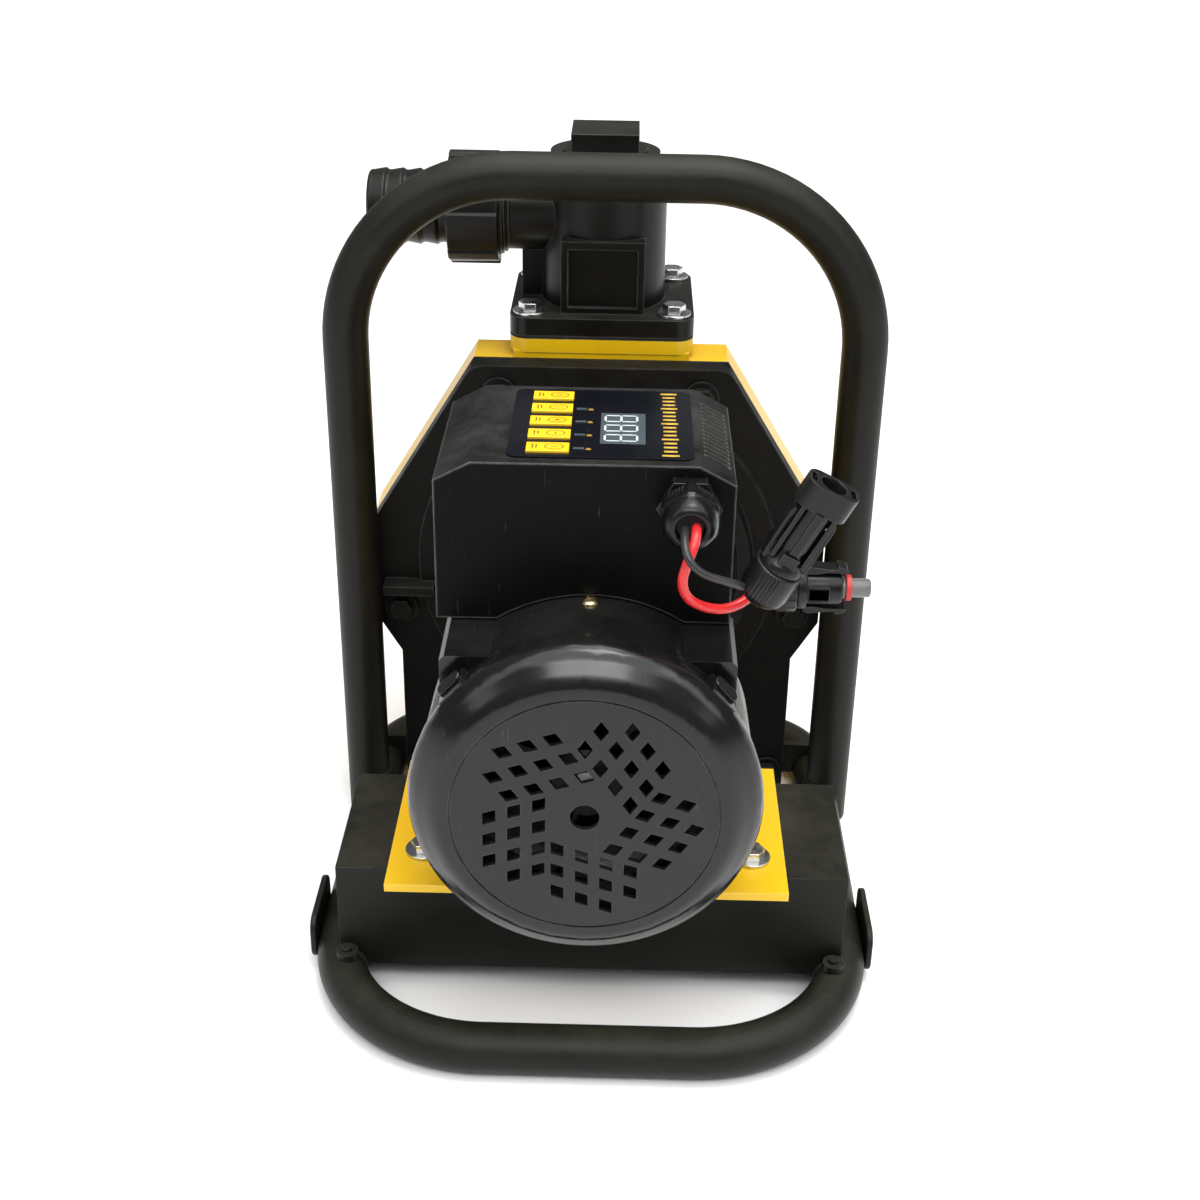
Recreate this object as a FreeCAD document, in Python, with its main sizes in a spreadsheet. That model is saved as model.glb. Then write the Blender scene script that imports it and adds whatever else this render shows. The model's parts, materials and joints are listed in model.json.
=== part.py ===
# Solar surface pump: a self-priming pump, its motor and a controller box on a bent-tube carry frame.
# The front of the machine, where the motor's fan cover is, faces -Y. The pump's casing is at the rear.
import FreeCAD, Part
import math
import os
from types import SimpleNamespace

import Sketcher
from FreeCAD import Placement, Rotation, Vector

# ---------------------------------------------------------------- driving dimensions, in millimetres
SIZES = dict(
    # carry frame
    tube_d=22, tube_wall=1.6, hoop_offset=5.5, hoop_height=356, hoop_corner=80, hoop_y=38, leg_start=1,
    rail_spacing=237, ring_front=167, ring_rear=104, ring_corner=72, rear_corner=38,
    bridge_inset=2.5, bridge_depth=77, bridge_front=115, bridge_top=68, bridge_bottom=13.5, sheet_t=2.5,
    side_plate_length=42, side_plate_height=23, side_plate_t=3, strap_height=18, strap_t=4,
    # motor
    motor_x=-2, cover_clearance=4.8, base_width=179, base_depth=101, base_front=132, base_t=4,
    base_bolt_span=149, base_bolt_edge=9, foot_span=72, foot_width=26,
    housing_bore=57, housing_wall=4.5, fin_height=3.4, housing_rear=20, housing_front=158,
    cover_front=218, cover_length=68, skirt_bore=66.2, cover_wall=2.3, rim_flare=5.8, face_inset=8.2,
    groove_inset=3.5, core_r=32, core_length=60, core_start=60, air_gap=0.5,
    bearing_r=20, bearing_bore=8.5, bearing_w=12, shaft_r=12, fan_r=56,
    # pump
    casing_half=116, casing_top=106, casing_bottom=113, casing_top_half=63, casing_wall=7,
    shoulder_up=20, shoulder_down=32, casing_straight=26, rear_scale=0.74,
    casing_depth=84.5, adapter_start=12, adapter_t=12, gasket_t=1.5, foot_half=103, foot_shoulder=54,
    foot_bottom=10, neck_r=92,
    impeller_r=58, impeller_w=18, eye_r=19, suction_rise=42, suction_r=22, suction_end=142,
    # outlet
    flange_width=91, flange_depth=83, outlet_rear=66, outlet_flange_t=9, casing_flange_t=7,
    column_r=31, column_wall=6, column_top=335.5, collar_r=27, collar_top=342.5, plug_size=33, plug_top=353.5,
    branch_z=313, branch_r=20, branch_bore=15, branch_end=50, thread_r=22.5, thread_length=12,
    nut_r=27.7, nut_length=25, barb_r=17.6, barb_ridge=1.1, barb_length=41, barb_bore=14.5,
    # controller
    case_x=-5, case_width=121, case_front=122, case_depth=87, case_top=270.5, case_bottom=201,
    case_wall=3, bevel_x=15, bevel_z=8, panel_width=75, panel_depth=76, panel_t=0.8,
    button_length=17.4, button_width=9, button_pitch=14.6, button_travel=0.6, button_x=-20.3,
    display_length=34, display_width=19, display_x=9.8, display_ahead=6, led_x=-7.8,
    vent_pitch=4.4, vent_width=1.6,
    gland_x=36.8, gland_z=254.5, gland_r=5.4, gland_nut_r=11.6,
    # fits and hardware
    slip=0.3, running=0.05, bolt_r=3, bolt_head=5.77, bolt_head_t=4, washer_r=8.5, washer_t=1.6,
    red_wire_r=2, black_wire_r=1.6,
)

doc = FreeCAD.newDocument("SolarSurfacePump")
sheet = doc.addObject("Spreadsheet::Sheet", "Sizes")
for row, (alias, amount) in enumerate(SIZES.items(), start=1):
    sheet.set(f"A{row}", alias)
    sheet.set(f"B{row}", str(amount))
    sheet.setAlias(f"B{row}", alias)
doc.recompute()


class Size:
    """A length that keeps its number and the spreadsheet formula it comes from."""

    def __init__(self, number, formula):
        self.number = number
        self.formula = formula

    def join(self, sign, other, number):
        return Size(number, f"({self.formula} {sign} {formula_of(other)})")

    def __add__(self, other):
        return self.join("+", other, self.number + number_of(other))

    def __radd__(self, other):
        return self + other

    def __sub__(self, other):
        return self.join("-", other, self.number - number_of(other))

    def __rsub__(self, other):
        return Size(number_of(other) - self.number, f"({formula_of(other)} - {self.formula})")

    def __mul__(self, other):
        return self.join("*", other, self.number * number_of(other))

    def __rmul__(self, other):
        return self * other

    def __truediv__(self, other):
        return self.join("/", other, self.number / number_of(other))

    def __neg__(self):
        return Size(-self.number, f"(0 - {self.formula})")


def number_of(size):
    return size.number if isinstance(size, Size) else float(size)


def formula_of(size):
    return size.formula if isinstance(size, Size) else repr(float(size))


s = SimpleNamespace(**{alias: Size(sheet.get(alias), f"Sizes.{alias}") for alias in SIZES})

# ---------------------------------------------------------------- worked-out places
tube_r = s.tube_d / 2
plate_top = s.bridge_top + s.base_t
motor_z = plate_top + s.skirt_bore + s.cover_clearance
foot_drop = motor_z - s.foot_bottom
hoop_half = s.rail_spacing / 2 + s.hoop_offset
bridge_width = s.rail_spacing - s.bridge_inset * 2
rim_r = s.skirt_bore + s.rim_flare
face_r = s.skirt_bore - s.face_inset
groove_r = face_r - s.groove_inset
adapter_rear = s.adapter_start + s.adapter_t
casing_start = adapter_rear + s.gasket_t
casing_end = casing_start + s.casing_depth
outlet_y = s.hoop_y + s.outlet_rear
case_y = s.case_depth / 2 - s.case_front
casing_flange_z = motor_z + s.casing_top + 3
flange_z = casing_flange_z + s.casing_flange_t + s.gasket_t
housing_r = s.housing_bore + s.housing_wall

UP = Rotation()
FRONT = Rotation(Vector(1, 0, 0), 90)
REAR = Rotation(Vector(1, 0, 0), -90)
LEFT = Rotation(Vector(0, 1, 0), -90)
ON_MOTOR_AXIS = (s.motor_x, s.hoop_y, motor_z)


# ---------------------------------------------------------------- helpers that bind sizes
def set_sizes(item, **sizes):
    for name, size in sizes.items():
        setattr(item, name, number_of(size))
        if isinstance(size, Size):
            item.setExpression(name, size.formula)
    return item


def place(item, at, turn=UP):
    item.Placement = Placement(Vector(*[number_of(step) for step in at]), turn)
    for axis, step in zip("xyz", at):
        if isinstance(step, Size):
            item.setExpression(f"Placement.Base.{axis}", step.formula)
    return item


def block(name, corner, lengths):
    item = set_sizes(doc.addObject("Part::Box", name), Length=lengths[0], Width=lengths[1], Height=lengths[2])
    return place(item, corner)


def middle_block(name, centre, bottom, lengths):
    corner = (centre[0] - lengths[0] / 2, centre[1] - lengths[1] / 2, bottom)
    return block(name, corner, lengths)


def rod(name, radius, height, at, turn=UP):
    item = set_sizes(doc.addObject("Part::Cylinder", name), Radius=radius, Height=height)
    return place(item, at, turn)


def hexagon(name, corner_r, height, at, turn=UP):
    item = doc.addObject("Part::Prism", name)
    item.Polygon = 6
    set_sizes(item, Circumradius=corner_r, Height=height)
    return place(item, at, turn)


def fuse(name, items):
    item = doc.addObject("Part::MultiFuse", name)
    item.Shapes = items
    return item


def cut(name, base, tools):
    item = doc.addObject("Part::Cut", name)
    item.Base = base
    item.Tool = tools[0] if len(tools) == 1 else fuse(name + "_tools", tools)
    return item


def group(name, items):
    item = doc.addObject("Part::Compound", name)
    item.Links = items
    return item


def ring(name, outer, bore, height, at, turn=UP):
    return cut(name, rod(name + "_outer", outer, height, at, turn), [rod(name + "_bore", bore, height, at, turn)])


# ---------------------------------------------------------------- sketches and part-design bodies
def new_body(name, at=(0, 0, 0), turn=UP):
    return place(doc.addObject("PartDesign::Body", name), at, turn)


def new_sketch(body, role, name, lift=0):
    plane = next(item for item in body.Origin.OriginFeatures if item.Role == role)
    sketch = body.newObject("Sketcher::SketchObject", name)
    sketch.AttachmentSupport = [(plane, "")]
    sketch.MapMode = "FlatFace"
    sketch.AttachmentOffset = Placement(Vector(0, 0, number_of(lift)), UP)
    if isinstance(lift, Size):
        sketch.setExpression("AttachmentOffset.Base.z", lift.formula)
    return sketch


def tie(sketch, kind, reference, size):
    index = sketch.addConstraint(Sketcher.Constraint(kind, *reference, number_of(size)))
    if isinstance(size, Size):
        sketch.setExpression(f"Constraints[{index}]", size.formula)


def tie_point(sketch, edge, end, point):
    tie(sketch, "DistanceX", (-1, 1, edge, end), point[0])
    tie(sketch, "DistanceY", (-1, 1, edge, end), point[1])


def to_vector(point):
    return Vector(number_of(point[0]), number_of(point[1]), 0)


def draw_outline(sketch, points):
    first = sketch.GeometryCount
    count = len(points)
    for index in range(count):
        start, end = to_vector(points[index]), to_vector(points[(index + 1) % count])
        sketch.addGeometry(Part.LineSegment(start, end), False)
    for index in range(count):
        joined = first + (index + 1) % count
        sketch.addConstraint(Sketcher.Constraint("Coincident", first + index, 2, joined, 1))
        tie_point(sketch, first + index, 1, points[index])


def draw_circle(sketch, centre, radius):
    edge = sketch.addGeometry(Part.Circle(to_vector(centre), Vector(0, 0, 1), number_of(radius)), False)
    tie_point(sketch, edge, 3, centre)
    tie(sketch, "Radius", (edge,), radius)


def revolve(body, profile, name="turned"):
    sketch = new_sketch(body, "XZ_Plane", name + "_profile")
    draw_outline(sketch, profile)
    feature = body.newObject("PartDesign::Revolution", name)
    feature.Profile = sketch
    feature.ReferenceAxis = (sketch, ["V_Axis"])
    feature.Angle = 360
    return feature


def turned(name, profile, at, turn=UP):
    body = new_body(name, at, turn)
    revolve(body, profile, name + "_form")
    return body


def pad(body, draw, height, lift=0, name="pad"):
    sketch = new_sketch(body, "XY_Plane", name + "_outline", lift)
    draw(sketch)
    feature = body.newObject("PartDesign::Pad", name)
    feature.Profile = sketch
    return set_sizes(feature, Length=height)


def pocket(body, draw, depth, lift=0, name="pocket"):
    """Cuts from the sketch's height towards the body's own +Z."""
    sketch = new_sketch(body, "XY_Plane", name + "_outline", lift)
    draw(sketch)
    feature = body.newObject("PartDesign::Pocket", name)
    feature.Profile = sketch
    feature.Reversed = True
    return set_sizes(feature, Length=depth)


def polar(body, feature, count, name="pattern"):
    sketch = feature.Profile[0]
    pattern = body.newObject("PartDesign::PolarPattern", name)
    pattern.Originals = [feature]
    pattern.Axis = (sketch, ["N_Axis"])
    pattern.Angle = 360
    pattern.Occurrences = count
    body.Tip = pattern
    return pattern


def round_edges(body, radius, wanted, name="rounding"):
    """Fillets the edges of the body's present tip that the test picks by their middle and direction."""
    doc.recompute()
    base = body.Tip
    names = []
    for index, edge in enumerate(base.Shape.Edges, start=1):
        middle = edge.valueAt((edge.FirstParameter + edge.LastParameter) / 2)
        if wanted(edge, middle):
            names.append(f"Edge{index}")
    feature = body.newObject("PartDesign::Fillet", name)
    feature.Base = (base, names)
    return set_sizes(feature, Radius=radius)


def is_upright(edge, middle):
    return edge.Curve.TypeId == "Part::GeomLine" and abs(edge.tangentAt(edge.FirstParameter).z) > 0.99


def rectangle(width, depth, centre=(0, 0)):
    left, right = centre[0] - width / 2, centre[0] + width / 2
    front, back = centre[1] - depth / 2, centre[1] + depth / 2
    return [(left, front), (right, front), (right, back), (left, back)]


def outline(points):
    return lambda sketch: draw_outline(sketch, points)


def circle(radius, centre=(0, 0)):
    return lambda sketch: draw_circle(sketch, centre, radius)


def circles(radius, centres):
    def draw(sketch):
        for centre in centres:
            draw_circle(sketch, centre, radius)
    return draw


def corners(half_x, half_y):
    return [(side * half_x, end * half_y) for side in (-1, 1) for end in (-1, 1)]


# ---------------------------------------------------------------- tubes of the carry frame
def bent_tube(name, points, closed, profile_role, profile_centre, spine_role, lift, profile_lift):
    """A round tube along straight runs and quarter bends. Points are (x, y, bend radius or None)."""
    body = new_body(name)
    spine = new_sketch(body, spine_role, name + "_path", lift)
    count = len(points)
    starts, ends = {}, {}
    for index, (x, y, bend) in enumerate(points):
        if bend is None:
            starts[index] = ends[index] = (x, y)
            continue
        before, after = points[index - 1], points[(index + 1) % count]
        ends[index] = step_towards((x, y), before, bend)
        starts[index] = step_towards((x, y), after, bend)
    runs = range(count if closed else count - 1)
    for index in runs:
        following = (index + 1) % count
        spine.addGeometry(Part.LineSegment(to_vector(starts[index]), to_vector(ends[following])), False)
        tie_point(spine, index, 1, starts[index])
        tie_point(spine, index, 2, ends[following])
    for index, (x, y, bend) in enumerate(points):
        if bend is None:
            continue
        first, last = to_vector(ends[index]), to_vector(starts[index])
        corner = to_vector((x, y))
        centre = first + last - corner
        middle = centre + (corner - centre).normalize() * number_of(bend)
        arc = spine.addGeometry(Part.Arc(first, middle, last), False)
        tie(spine, "Radius", (arc,), bend)
        for edge, end, target in ((index - 1) % count, 2, first), (index, 1, last):
            near = 1 if (spine.getPoint(arc, 1) - target).Length < 0.01 else 2
            spine.addConstraint(Sketcher.Constraint("Coincident", arc, near, edge, end))
    for kind, radius in (("Additive", tube_r), ("Subtractive", tube_r - s.tube_wall)):
        section = new_sketch(body, profile_role, f"{name}_{kind}_section", profile_lift)
        draw_circle(section, profile_centre, radius)
        pipe = body.newObject(f"PartDesign::{kind}Pipe", f"{name}_{kind}_pipe")
        pipe.Profile = section
        pipe.Spine = (spine, [])
    return body


def step_towards(corner, target, length):
    """The point on an upright or level line from a corner to its neighbour, a given length along."""
    moved = []
    for start, end in zip(corner[:2], target[:2]):
        difference = number_of(end) - number_of(start)
        direction = 0 if abs(difference) < 0.001 else math.copysign(1, difference)
        moved.append(start + length * direction)
    return tuple(moved)


def build_frame():
    half = s.rail_spacing / 2
    corner = s.ring_corner
    ring_points = [
        (half, 0, None), (half, -s.ring_front, corner), (-half, -s.ring_front, corner),
        (-half, s.ring_rear, s.rear_corner), (half, s.ring_rear, s.rear_corner)]
    base_ring = bent_tube("base_ring", ring_points, True, "XZ_Plane", (half, tube_r), "XY_Plane", tube_r, 0)

    leg = hoop_half
    top = s.hoop_height - tube_r
    hoop_points = [(-leg, s.leg_start, None), (-leg, top, s.hoop_corner), (leg, top, s.hoop_corner),
                   (leg, s.leg_start, None)]
    hoop = bent_tube("hoop_tube", hoop_points, False, "XY_Plane", (-leg, 0), "XZ_Plane", 0, s.leg_start)
    place(hoop, (0, s.hoop_y, 0))
    rails = [rod(f"rail_saddle_{side}", tube_r, s.tube_d * 3, (side * half, s.hoop_y - s.tube_d, tube_r), REAR)
             for side in (-1, 1)]
    carry_hoop = cut("carry_hoop", hoop, rails)

    bridge_outer = block("bridge_outer", (-bridge_width / 2, -s.bridge_front, s.bridge_bottom),
                         (bridge_width, s.bridge_depth, s.bridge_top - s.bridge_bottom))
    bridge_hollow = block("bridge_hollow",
                          (s.sheet_t - bridge_width / 2, s.sheet_t - s.bridge_front, s.bridge_bottom),
                          (bridge_width - s.sheet_t * 2, s.bridge_depth - s.sheet_t * 2,
                           s.bridge_top - s.bridge_bottom - s.sheet_t))
    saddles = [rod(f"bridge_saddle_{side}", tube_r + s.slip, s.bridge_depth + s.tube_d * 4,
                   (side * half, -s.bridge_front - s.tube_d, tube_r), REAR) for side in (-1, 1)]
    bends = []
    for side, first_angle in ((-1, 180), (1, -90)):
        bend = doc.addObject("Part::Torus", f"bridge_bend_{side + 1}")
        set_sizes(bend, Radius1=corner, Radius2=tube_r + s.slip, Angle3=90)
        bend_at = (side * (half - corner), corner - s.ring_front, tube_r)
        bends.append(place(bend, bend_at, Rotation(Vector(0, 0, 1), first_angle)))
    base_bolts = [rod(f"bridge_hole_{x}_{y}", s.bolt_r + s.slip, s.sheet_t * 4,
                      (s.motor_x + x * s.base_bolt_span / 2, base_y(y), s.bridge_top - s.sheet_t * 2))
                  for x in (-1, 1) for y in (-1, 1)]
    straight_cut = cut("bridge_shell", bridge_outer, [bridge_hollow] + saddles + base_bolts)
    bridge = cut("bridge_channel", straight_cut, bends)

    side_plates = []
    for side, name in ((-1, "side_plate_left"), (1, "side_plate_right")):
        plate = new_body(name, (side * (half + tube_r), -s.bridge_front + 12, 4), Rotation(Vector(0, 0, 1), 90))
        across = -side * s.side_plate_t
        pad(plate, outline([(0, 0), (s.side_plate_length, 0), (s.side_plate_length, across), (0, across)]),
            s.side_plate_height, name=name + "_pad")
        round_edges(plate, 7, lambda edge, middle: abs(edge.tangentAt(edge.FirstParameter).y) > 0.99,
                    name + "_corners")
        side_plates.append(plate)

    stubs = []
    for side in (-1, 1):
        x = side * (half - 6.5)
        head = rod(f"frame_bolt_head_{side}", 5, 6, (x, -s.bridge_front - 5.2, s.tube_d - 2.6))
        neck = rod(f"frame_bolt_neck_{side}", 2.5, 2, (x, -s.bridge_front - 5.2, s.tube_d + 3.4))
        stubs.append(fuse(f"frame_bolt_{side}", [head, neck]))
    stub_tools = [rod(f"stub_seat_{side}", tube_r, s.tube_d * 2,
                      (side * (half - 4), -s.bridge_front - s.tube_d * 1.5, tube_r), REAR) for side in (-1, 1)]
    frame_bolts = cut("frame_weld_studs", group("frame_stub_pair", stubs), stub_tools)
    return [base_ring, carry_hoop, bridge] + side_plates + [frame_bolts] + build_foot_strap()


def build_foot_strap():
    """A flat strap welded between the rails behind the adapter's foot, with the bolts that hold it."""
    half = s.rail_spacing / 2
    start_y = s.hoop_y + adapter_rear
    strap_z = motor_z - foot_drop
    bar = block("strap_bar", (-half, start_y, strap_z), (s.rail_spacing, s.strap_t, s.strap_height))
    saddles = [rod(f"strap_saddle_{side}", tube_r, 200, (side * half, start_y - 100, tube_r), REAR)
               for side in (-1, 1)]
    places = [(s.motor_x + side * (s.foot_half - 9), strap_z + 9) for side in (-1, 1)]
    holes = [rod(f"strap_hole_{x.number:.0f}", s.bolt_r + s.slip, 40, (x, start_y - 20, z), REAR)
             for x, z in places]
    strap = cut("foot_strap", bar, saddles + holes)
    items = []
    for index, (x, z) in enumerate(places):
        items += hex_bolt(f"foot_bolt_{index}", (x, s.hoop_y + s.adapter_start, z), s.adapter_t + s.strap_t + 6,
                          FRONT)
        items.append(hex_nut(f"foot_nut_{index}", (x, start_y + s.strap_t, z), REAR))
    return [strap, group("foot_bolts", items)]


def base_y(row):
    """The front (-1) and rear (1) rows of motor base bolts, inside the bridge's depth."""
    return -s.bridge_front + s.bridge_depth / 2 + row * (s.bridge_depth / 2 - s.base_bolt_edge)


def hex_bolt(name, at, length, turn=UP):
    """A hex bolt whose head stands on its washer; the shank runs to the other way from the head."""
    down = turn.multVec(Vector(0, 0, -1))
    x, y, z = at
    head_at = (x - down.x * s.washer_t, y - down.y * s.washer_t, z - down.z * s.washer_t)
    tail_at = (x + down.x * length, y + down.y * length, z + down.z * length)
    head = hexagon(name + "_head", s.bolt_head, s.bolt_head_t, head_at, turn)
    shank = rod(name + "_shank", s.bolt_r, s.washer_t + length, tail_at, turn)
    bolt = fuse(name, [head, shank])
    washer = ring(name + "_washer", s.washer_r, s.bolt_r + s.slip / 2, s.washer_t, at, turn)
    return [bolt, washer]


def hex_nut(name, at, turn=UP):
    body = hexagon(name + "_hex", s.bolt_head, s.bolt_head_t + 1, at, turn)
    return cut(name, body, [rod(name + "_thread", s.bolt_r, s.bolt_head_t + 1, at, turn)])


# ---------------------------------------------------------------- motor
def build_motor():
    base = new_body("motor_base_plate", (s.motor_x, s.base_depth / 2 - s.base_front, s.bridge_top))
    pad(base, outline(rectangle(s.base_width, s.base_depth)), s.base_t, name="base_sheet")
    bolt_x = s.base_bolt_span / 2
    offset = s.base_front - s.base_depth / 2
    holes = [(x * bolt_x, base_y(y) + offset) for x in (-1, 1) for y in (-1, 1)]
    pocket(base, circles(s.bolt_r + s.slip, holes), s.base_t, name="base_holes")

    hardware = []
    for x in (-1, 1):
        for y in (-1, 1):
            spot = (s.motor_x + x * bolt_x, base_y(y), plate_top)
            name = f"base_bolt_{x + 1}{y + 1}"
            hardware += hex_bolt(name, spot, 14)
            nut_z = s.bridge_top - s.sheet_t - s.bolt_head_t - 1
            hardware.append(hex_nut(name + "_nut", (spot[0], spot[1], nut_z)))
    base_bolts = group("base_bolts", hardware)

    housing = new_body("housing_barrel", ON_MOTOR_AXIS, FRONT)
    length = s.housing_front - s.housing_rear
    pad(housing, circle(housing_r), length, s.housing_rear, "barrel")
    fin = outline([(housing_r - 1, -1.3), (housing_r + s.fin_height, -0.9), (housing_r + s.fin_height, 0.9),
                   (housing_r - 1, 1.3)])
    polar(housing, pad(housing, fin, length - 14, s.housing_rear, "fin"), 36, "fins")
    pocket(housing, circle(s.housing_bore), length, s.housing_rear, "barrel_bore")
    foot_front = s.hoop_y - s.cover_front + s.cover_length + 1.5
    feet = [block(f"foot_{side}", (s.motor_x + side * s.foot_span / 2 - s.foot_width / 2, foot_front, plate_top),
                  (s.foot_width, s.base_depth - 28, 45)) for side in (-1, 1)]
    pad_top = motor_z + s.skirt_bore + s.cover_wall + 1.6
    feet.append(middle_block("controller_pad", (s.motor_x, case_y), pad_top - 20, (70, s.case_depth - 22, 20)))
    core = rod("housing_clear", s.housing_bore + 1, 400, (s.motor_x, s.hoop_y, motor_z), FRONT)
    feet_cut = cut("feet", group("feet_pair", feet), [core])
    motor_housing = fuse("motor_housing", [housing, feet_cut])

    front = s.housing_front
    rim = s.skirt_bore - s.slip
    end_shield = turned("end_shield", [
        (s.bearing_bore + 4, front + 1), (s.bearing_bore + 4, front + 6), (rim - 5, front + 6),
        (rim - 5, front + 11), (rim, front + 11), (rim, front), (s.bearing_r + 6, front),
        (s.bearing_r + 6, front - s.bearing_w), (s.bearing_r, front - s.bearing_w), (s.bearing_r, front + 1)],
        ON_MOTOR_AXIS, FRONT)

    stator = ring("stator_core", s.housing_bore, s.core_r + s.air_gap, s.core_length,
                  (s.motor_x, s.hoop_y - s.core_start, motor_z), FRONT)
    coil_outer, coil_inner = s.housing_bore - 6, s.core_r + 5
    coils = [ring(f"coil_{end}", coil_outer, coil_inner, 14, (s.motor_x, s.hoop_y - start, motor_z), FRONT)
             for end, start in enumerate((s.core_start - 14, s.core_start + s.core_length))]
    windings = group("stator_windings", coils)

    rotor_core = ring("rotor_core", s.core_r, s.shaft_r, s.core_length,
                      (s.motor_x, s.hoop_y - s.core_start, motor_z), FRONT)
    front_seat = s.housing_front + 1
    rear_seat = s.housing_rear - s.bearing_w
    tail = -(casing_start + 6 + s.impeller_w)
    shaft = turned("rotor_shaft", [
        (0, tail), (7, tail), (7, rear_seat), (s.bearing_bore, rear_seat), (s.bearing_bore, s.housing_rear),
        (s.shaft_r, s.housing_rear), (s.shaft_r, front_seat - s.bearing_w),
        (s.bearing_bore, front_seat - s.bearing_w), (s.bearing_bore, front_seat + 4), (7, front_seat + 4),
        (7, s.cover_front - 22), (0, s.cover_front - 22)], ON_MOTOR_AXIS, FRONT)
    bearings = []
    for name, start in (("bearing_front", front_seat - s.bearing_w), ("bearing_rear", rear_seat)):
        bearings.append(ring(name, s.bearing_r, s.bearing_bore + s.running, s.bearing_w,
                             (s.motor_x, s.hoop_y - start, motor_z), FRONT))

    fan_start = front_seat + 8
    fan = new_body("cooling_fan", ON_MOTOR_AXIS, FRONT)
    pad(fan, circle(16), 26, fan_start, "fan_hub")
    pad(fan, circle(s.fan_r * 0.7), 2, fan_start, "fan_disc")
    blade = outline([(12, -1), (s.fan_r, -1), (s.fan_r, 1), (12, 1)])
    polar(fan, pad(fan, blade, 20, fan_start, "fan_blade"), 7, "fan_blades")
    pocket(fan, circle(7), 40, fan_start - 2, "fan_bore")
    return [base, base_bolts, motor_housing, end_shield, stator, windings, rotor_core, shaft] + bearings + [
        fan, build_fan_cover(), build_cover_screws()]


def build_fan_cover():
    """A moulded cover: skirt, wide rounded rim and a flat face with five sectors of diamond holes."""
    start, front, wall = s.cover_front - s.cover_length, s.cover_front, s.cover_wall
    skirt_r = s.skirt_bore + wall
    outer = [(skirt_r, start), (skirt_r + 0.8, front - 28), (rim_r - 0.6, front - 18),
             (rim_r, front - 12), (rim_r - 1.4, front - 8.5), (face_r + 3, front - 0.8), (face_r, front)]
    centre = [(5.9, front), (5.9, front - wall)]
    inner = [(face_r - 1, front - wall), (face_r + 2, front - wall - 0.8), (rim_r - wall - 1.2, front - 10),
             (rim_r - wall, front - 13), (s.skirt_bore + 0.6, front - 30),
             (s.skirt_bore, start)]
    cover = turned("fan_cover", outer + centre + inner, ON_MOTOR_AXIS, FRONT)
    groove_sketch = new_sketch(cover, "XY_Plane", "face_groove_outline", front - 0.6)
    draw_circle(groove_sketch, (0, 0), groove_r)
    draw_circle(groove_sketch, (0, 0), groove_r - 0.8)
    groove = cover.newObject("PartDesign::Pocket", "face_groove")
    groove.Profile = groove_sketch
    groove.Reversed = True
    set_sizes(groove, Length=1)

    def draw_sector(sketch):
        for column in range(4):
            for row in range(3):
                if (column, row) != (3, 2):
                    draw_outline(sketch, diamond(column, row))
    holes = pocket(cover, draw_sector, wall * 3, front - wall * 2, "grille_sector")
    polar(cover, holes, 5, "grille")
    for side, hand in ((1, "right"), (-1, "left")):
        pad(cover, outline(lug_outline(side)), 13, front - 25, "lug_" + hand)
        pad(cover, outline(shoulder_outline(side)), s.cover_length - 27, start, "shoulder_" + hand)
    return cover


def diamond(column, row):
    """A rhombic hole of the grille; the lattice follows a five-pointed star inside the face."""
    radius = groove_r
    across, down = (0.1815, -0.0608), (0, -0.1916)
    centre_x = -0.200 + across[0] * column + down[0] * row
    centre_z = -0.288 + across[1] * column + down[1] * row
    half_a, half_b = (across[0] * 0.265, across[1] * 0.265), (0, down[1] * 0.265)
    signs = ((-1, -1), (1, -1), (1, 1), (-1, 1))
    return [(radius * (centre_x + a * half_a[0] + b * half_b[0]),
             radius * (centre_z + a * half_a[1] + b * half_b[1])) for a, b in signs]


def lug_outline(side):
    """A raised pad on the rim's shoulder, 48 degrees from the top."""
    angle = math.radians(48)
    along, out = (math.cos(angle), -math.sin(angle)), (math.sin(angle), math.cos(angle))
    points = []
    for tangent, radial in ((-6.5, s.skirt_bore + 1), (6.5, s.skirt_bore + 1), (6.5, rim_r + 0.6),
                            (-6.5, rim_r + 0.6)):
        points.append((side * (radial * out[0] + tangent * along[0]), radial * out[1] + tangent * along[1]))
    return points


def shoulder_outline(side):
    """A solid ear that squares off the skirt under the controller, from 28 to 58 degrees above level."""
    wall_r = s.skirt_bore + 1.1
    turns = [math.radians(angle) for angle in (58, 43, 28)]
    on_wall = [(wall_r * math.cos(turn), wall_r * math.sin(turn)) for turn in turns]
    half, top = on_wall[2][0], on_wall[0][1]
    return [(side * x, z) for x, z in on_wall + [(half, top - 2), (half - 2, top)]]


def build_cover_screws():
    """Pan-head screws through the skirt into the end shield, the first one at the top."""
    screws = []
    for index in range(3):
        turn = Rotation(Vector(0, 1, 0), 120 * index)
        direction = turn.multVec(Vector(0, 0, 1))
        reach = s.skirt_bore + s.cover_wall + 0.3
        foot = (s.motor_x + reach * direction.x, s.hoop_y - s.housing_front - 6.5, motor_z + reach * direction.z)
        screws.append(rod(f"cover_screw_{index}", 3.6, 1.8, foot, turn))
    return group("cover_screws", screws)


# ---------------------------------------------------------------- pump
def casing_outline(inset=0, scale=1):
    """The eight-sided shape of the casing, inset by a wall and scaled towards the rear."""
    half, top, low = s.casing_half * scale - inset, s.casing_top * scale - inset, s.casing_bottom * scale - inset
    top_half = s.casing_top_half * scale - inset * 0.5
    up, down = s.shoulder_up * scale, s.shoulder_down * scale
    return [(-top_half, top), (top_half, top), (half, up), (half, -down), (top_half, -low), (-top_half, -low),
            (-half, -down), (-half, up)]


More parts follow.
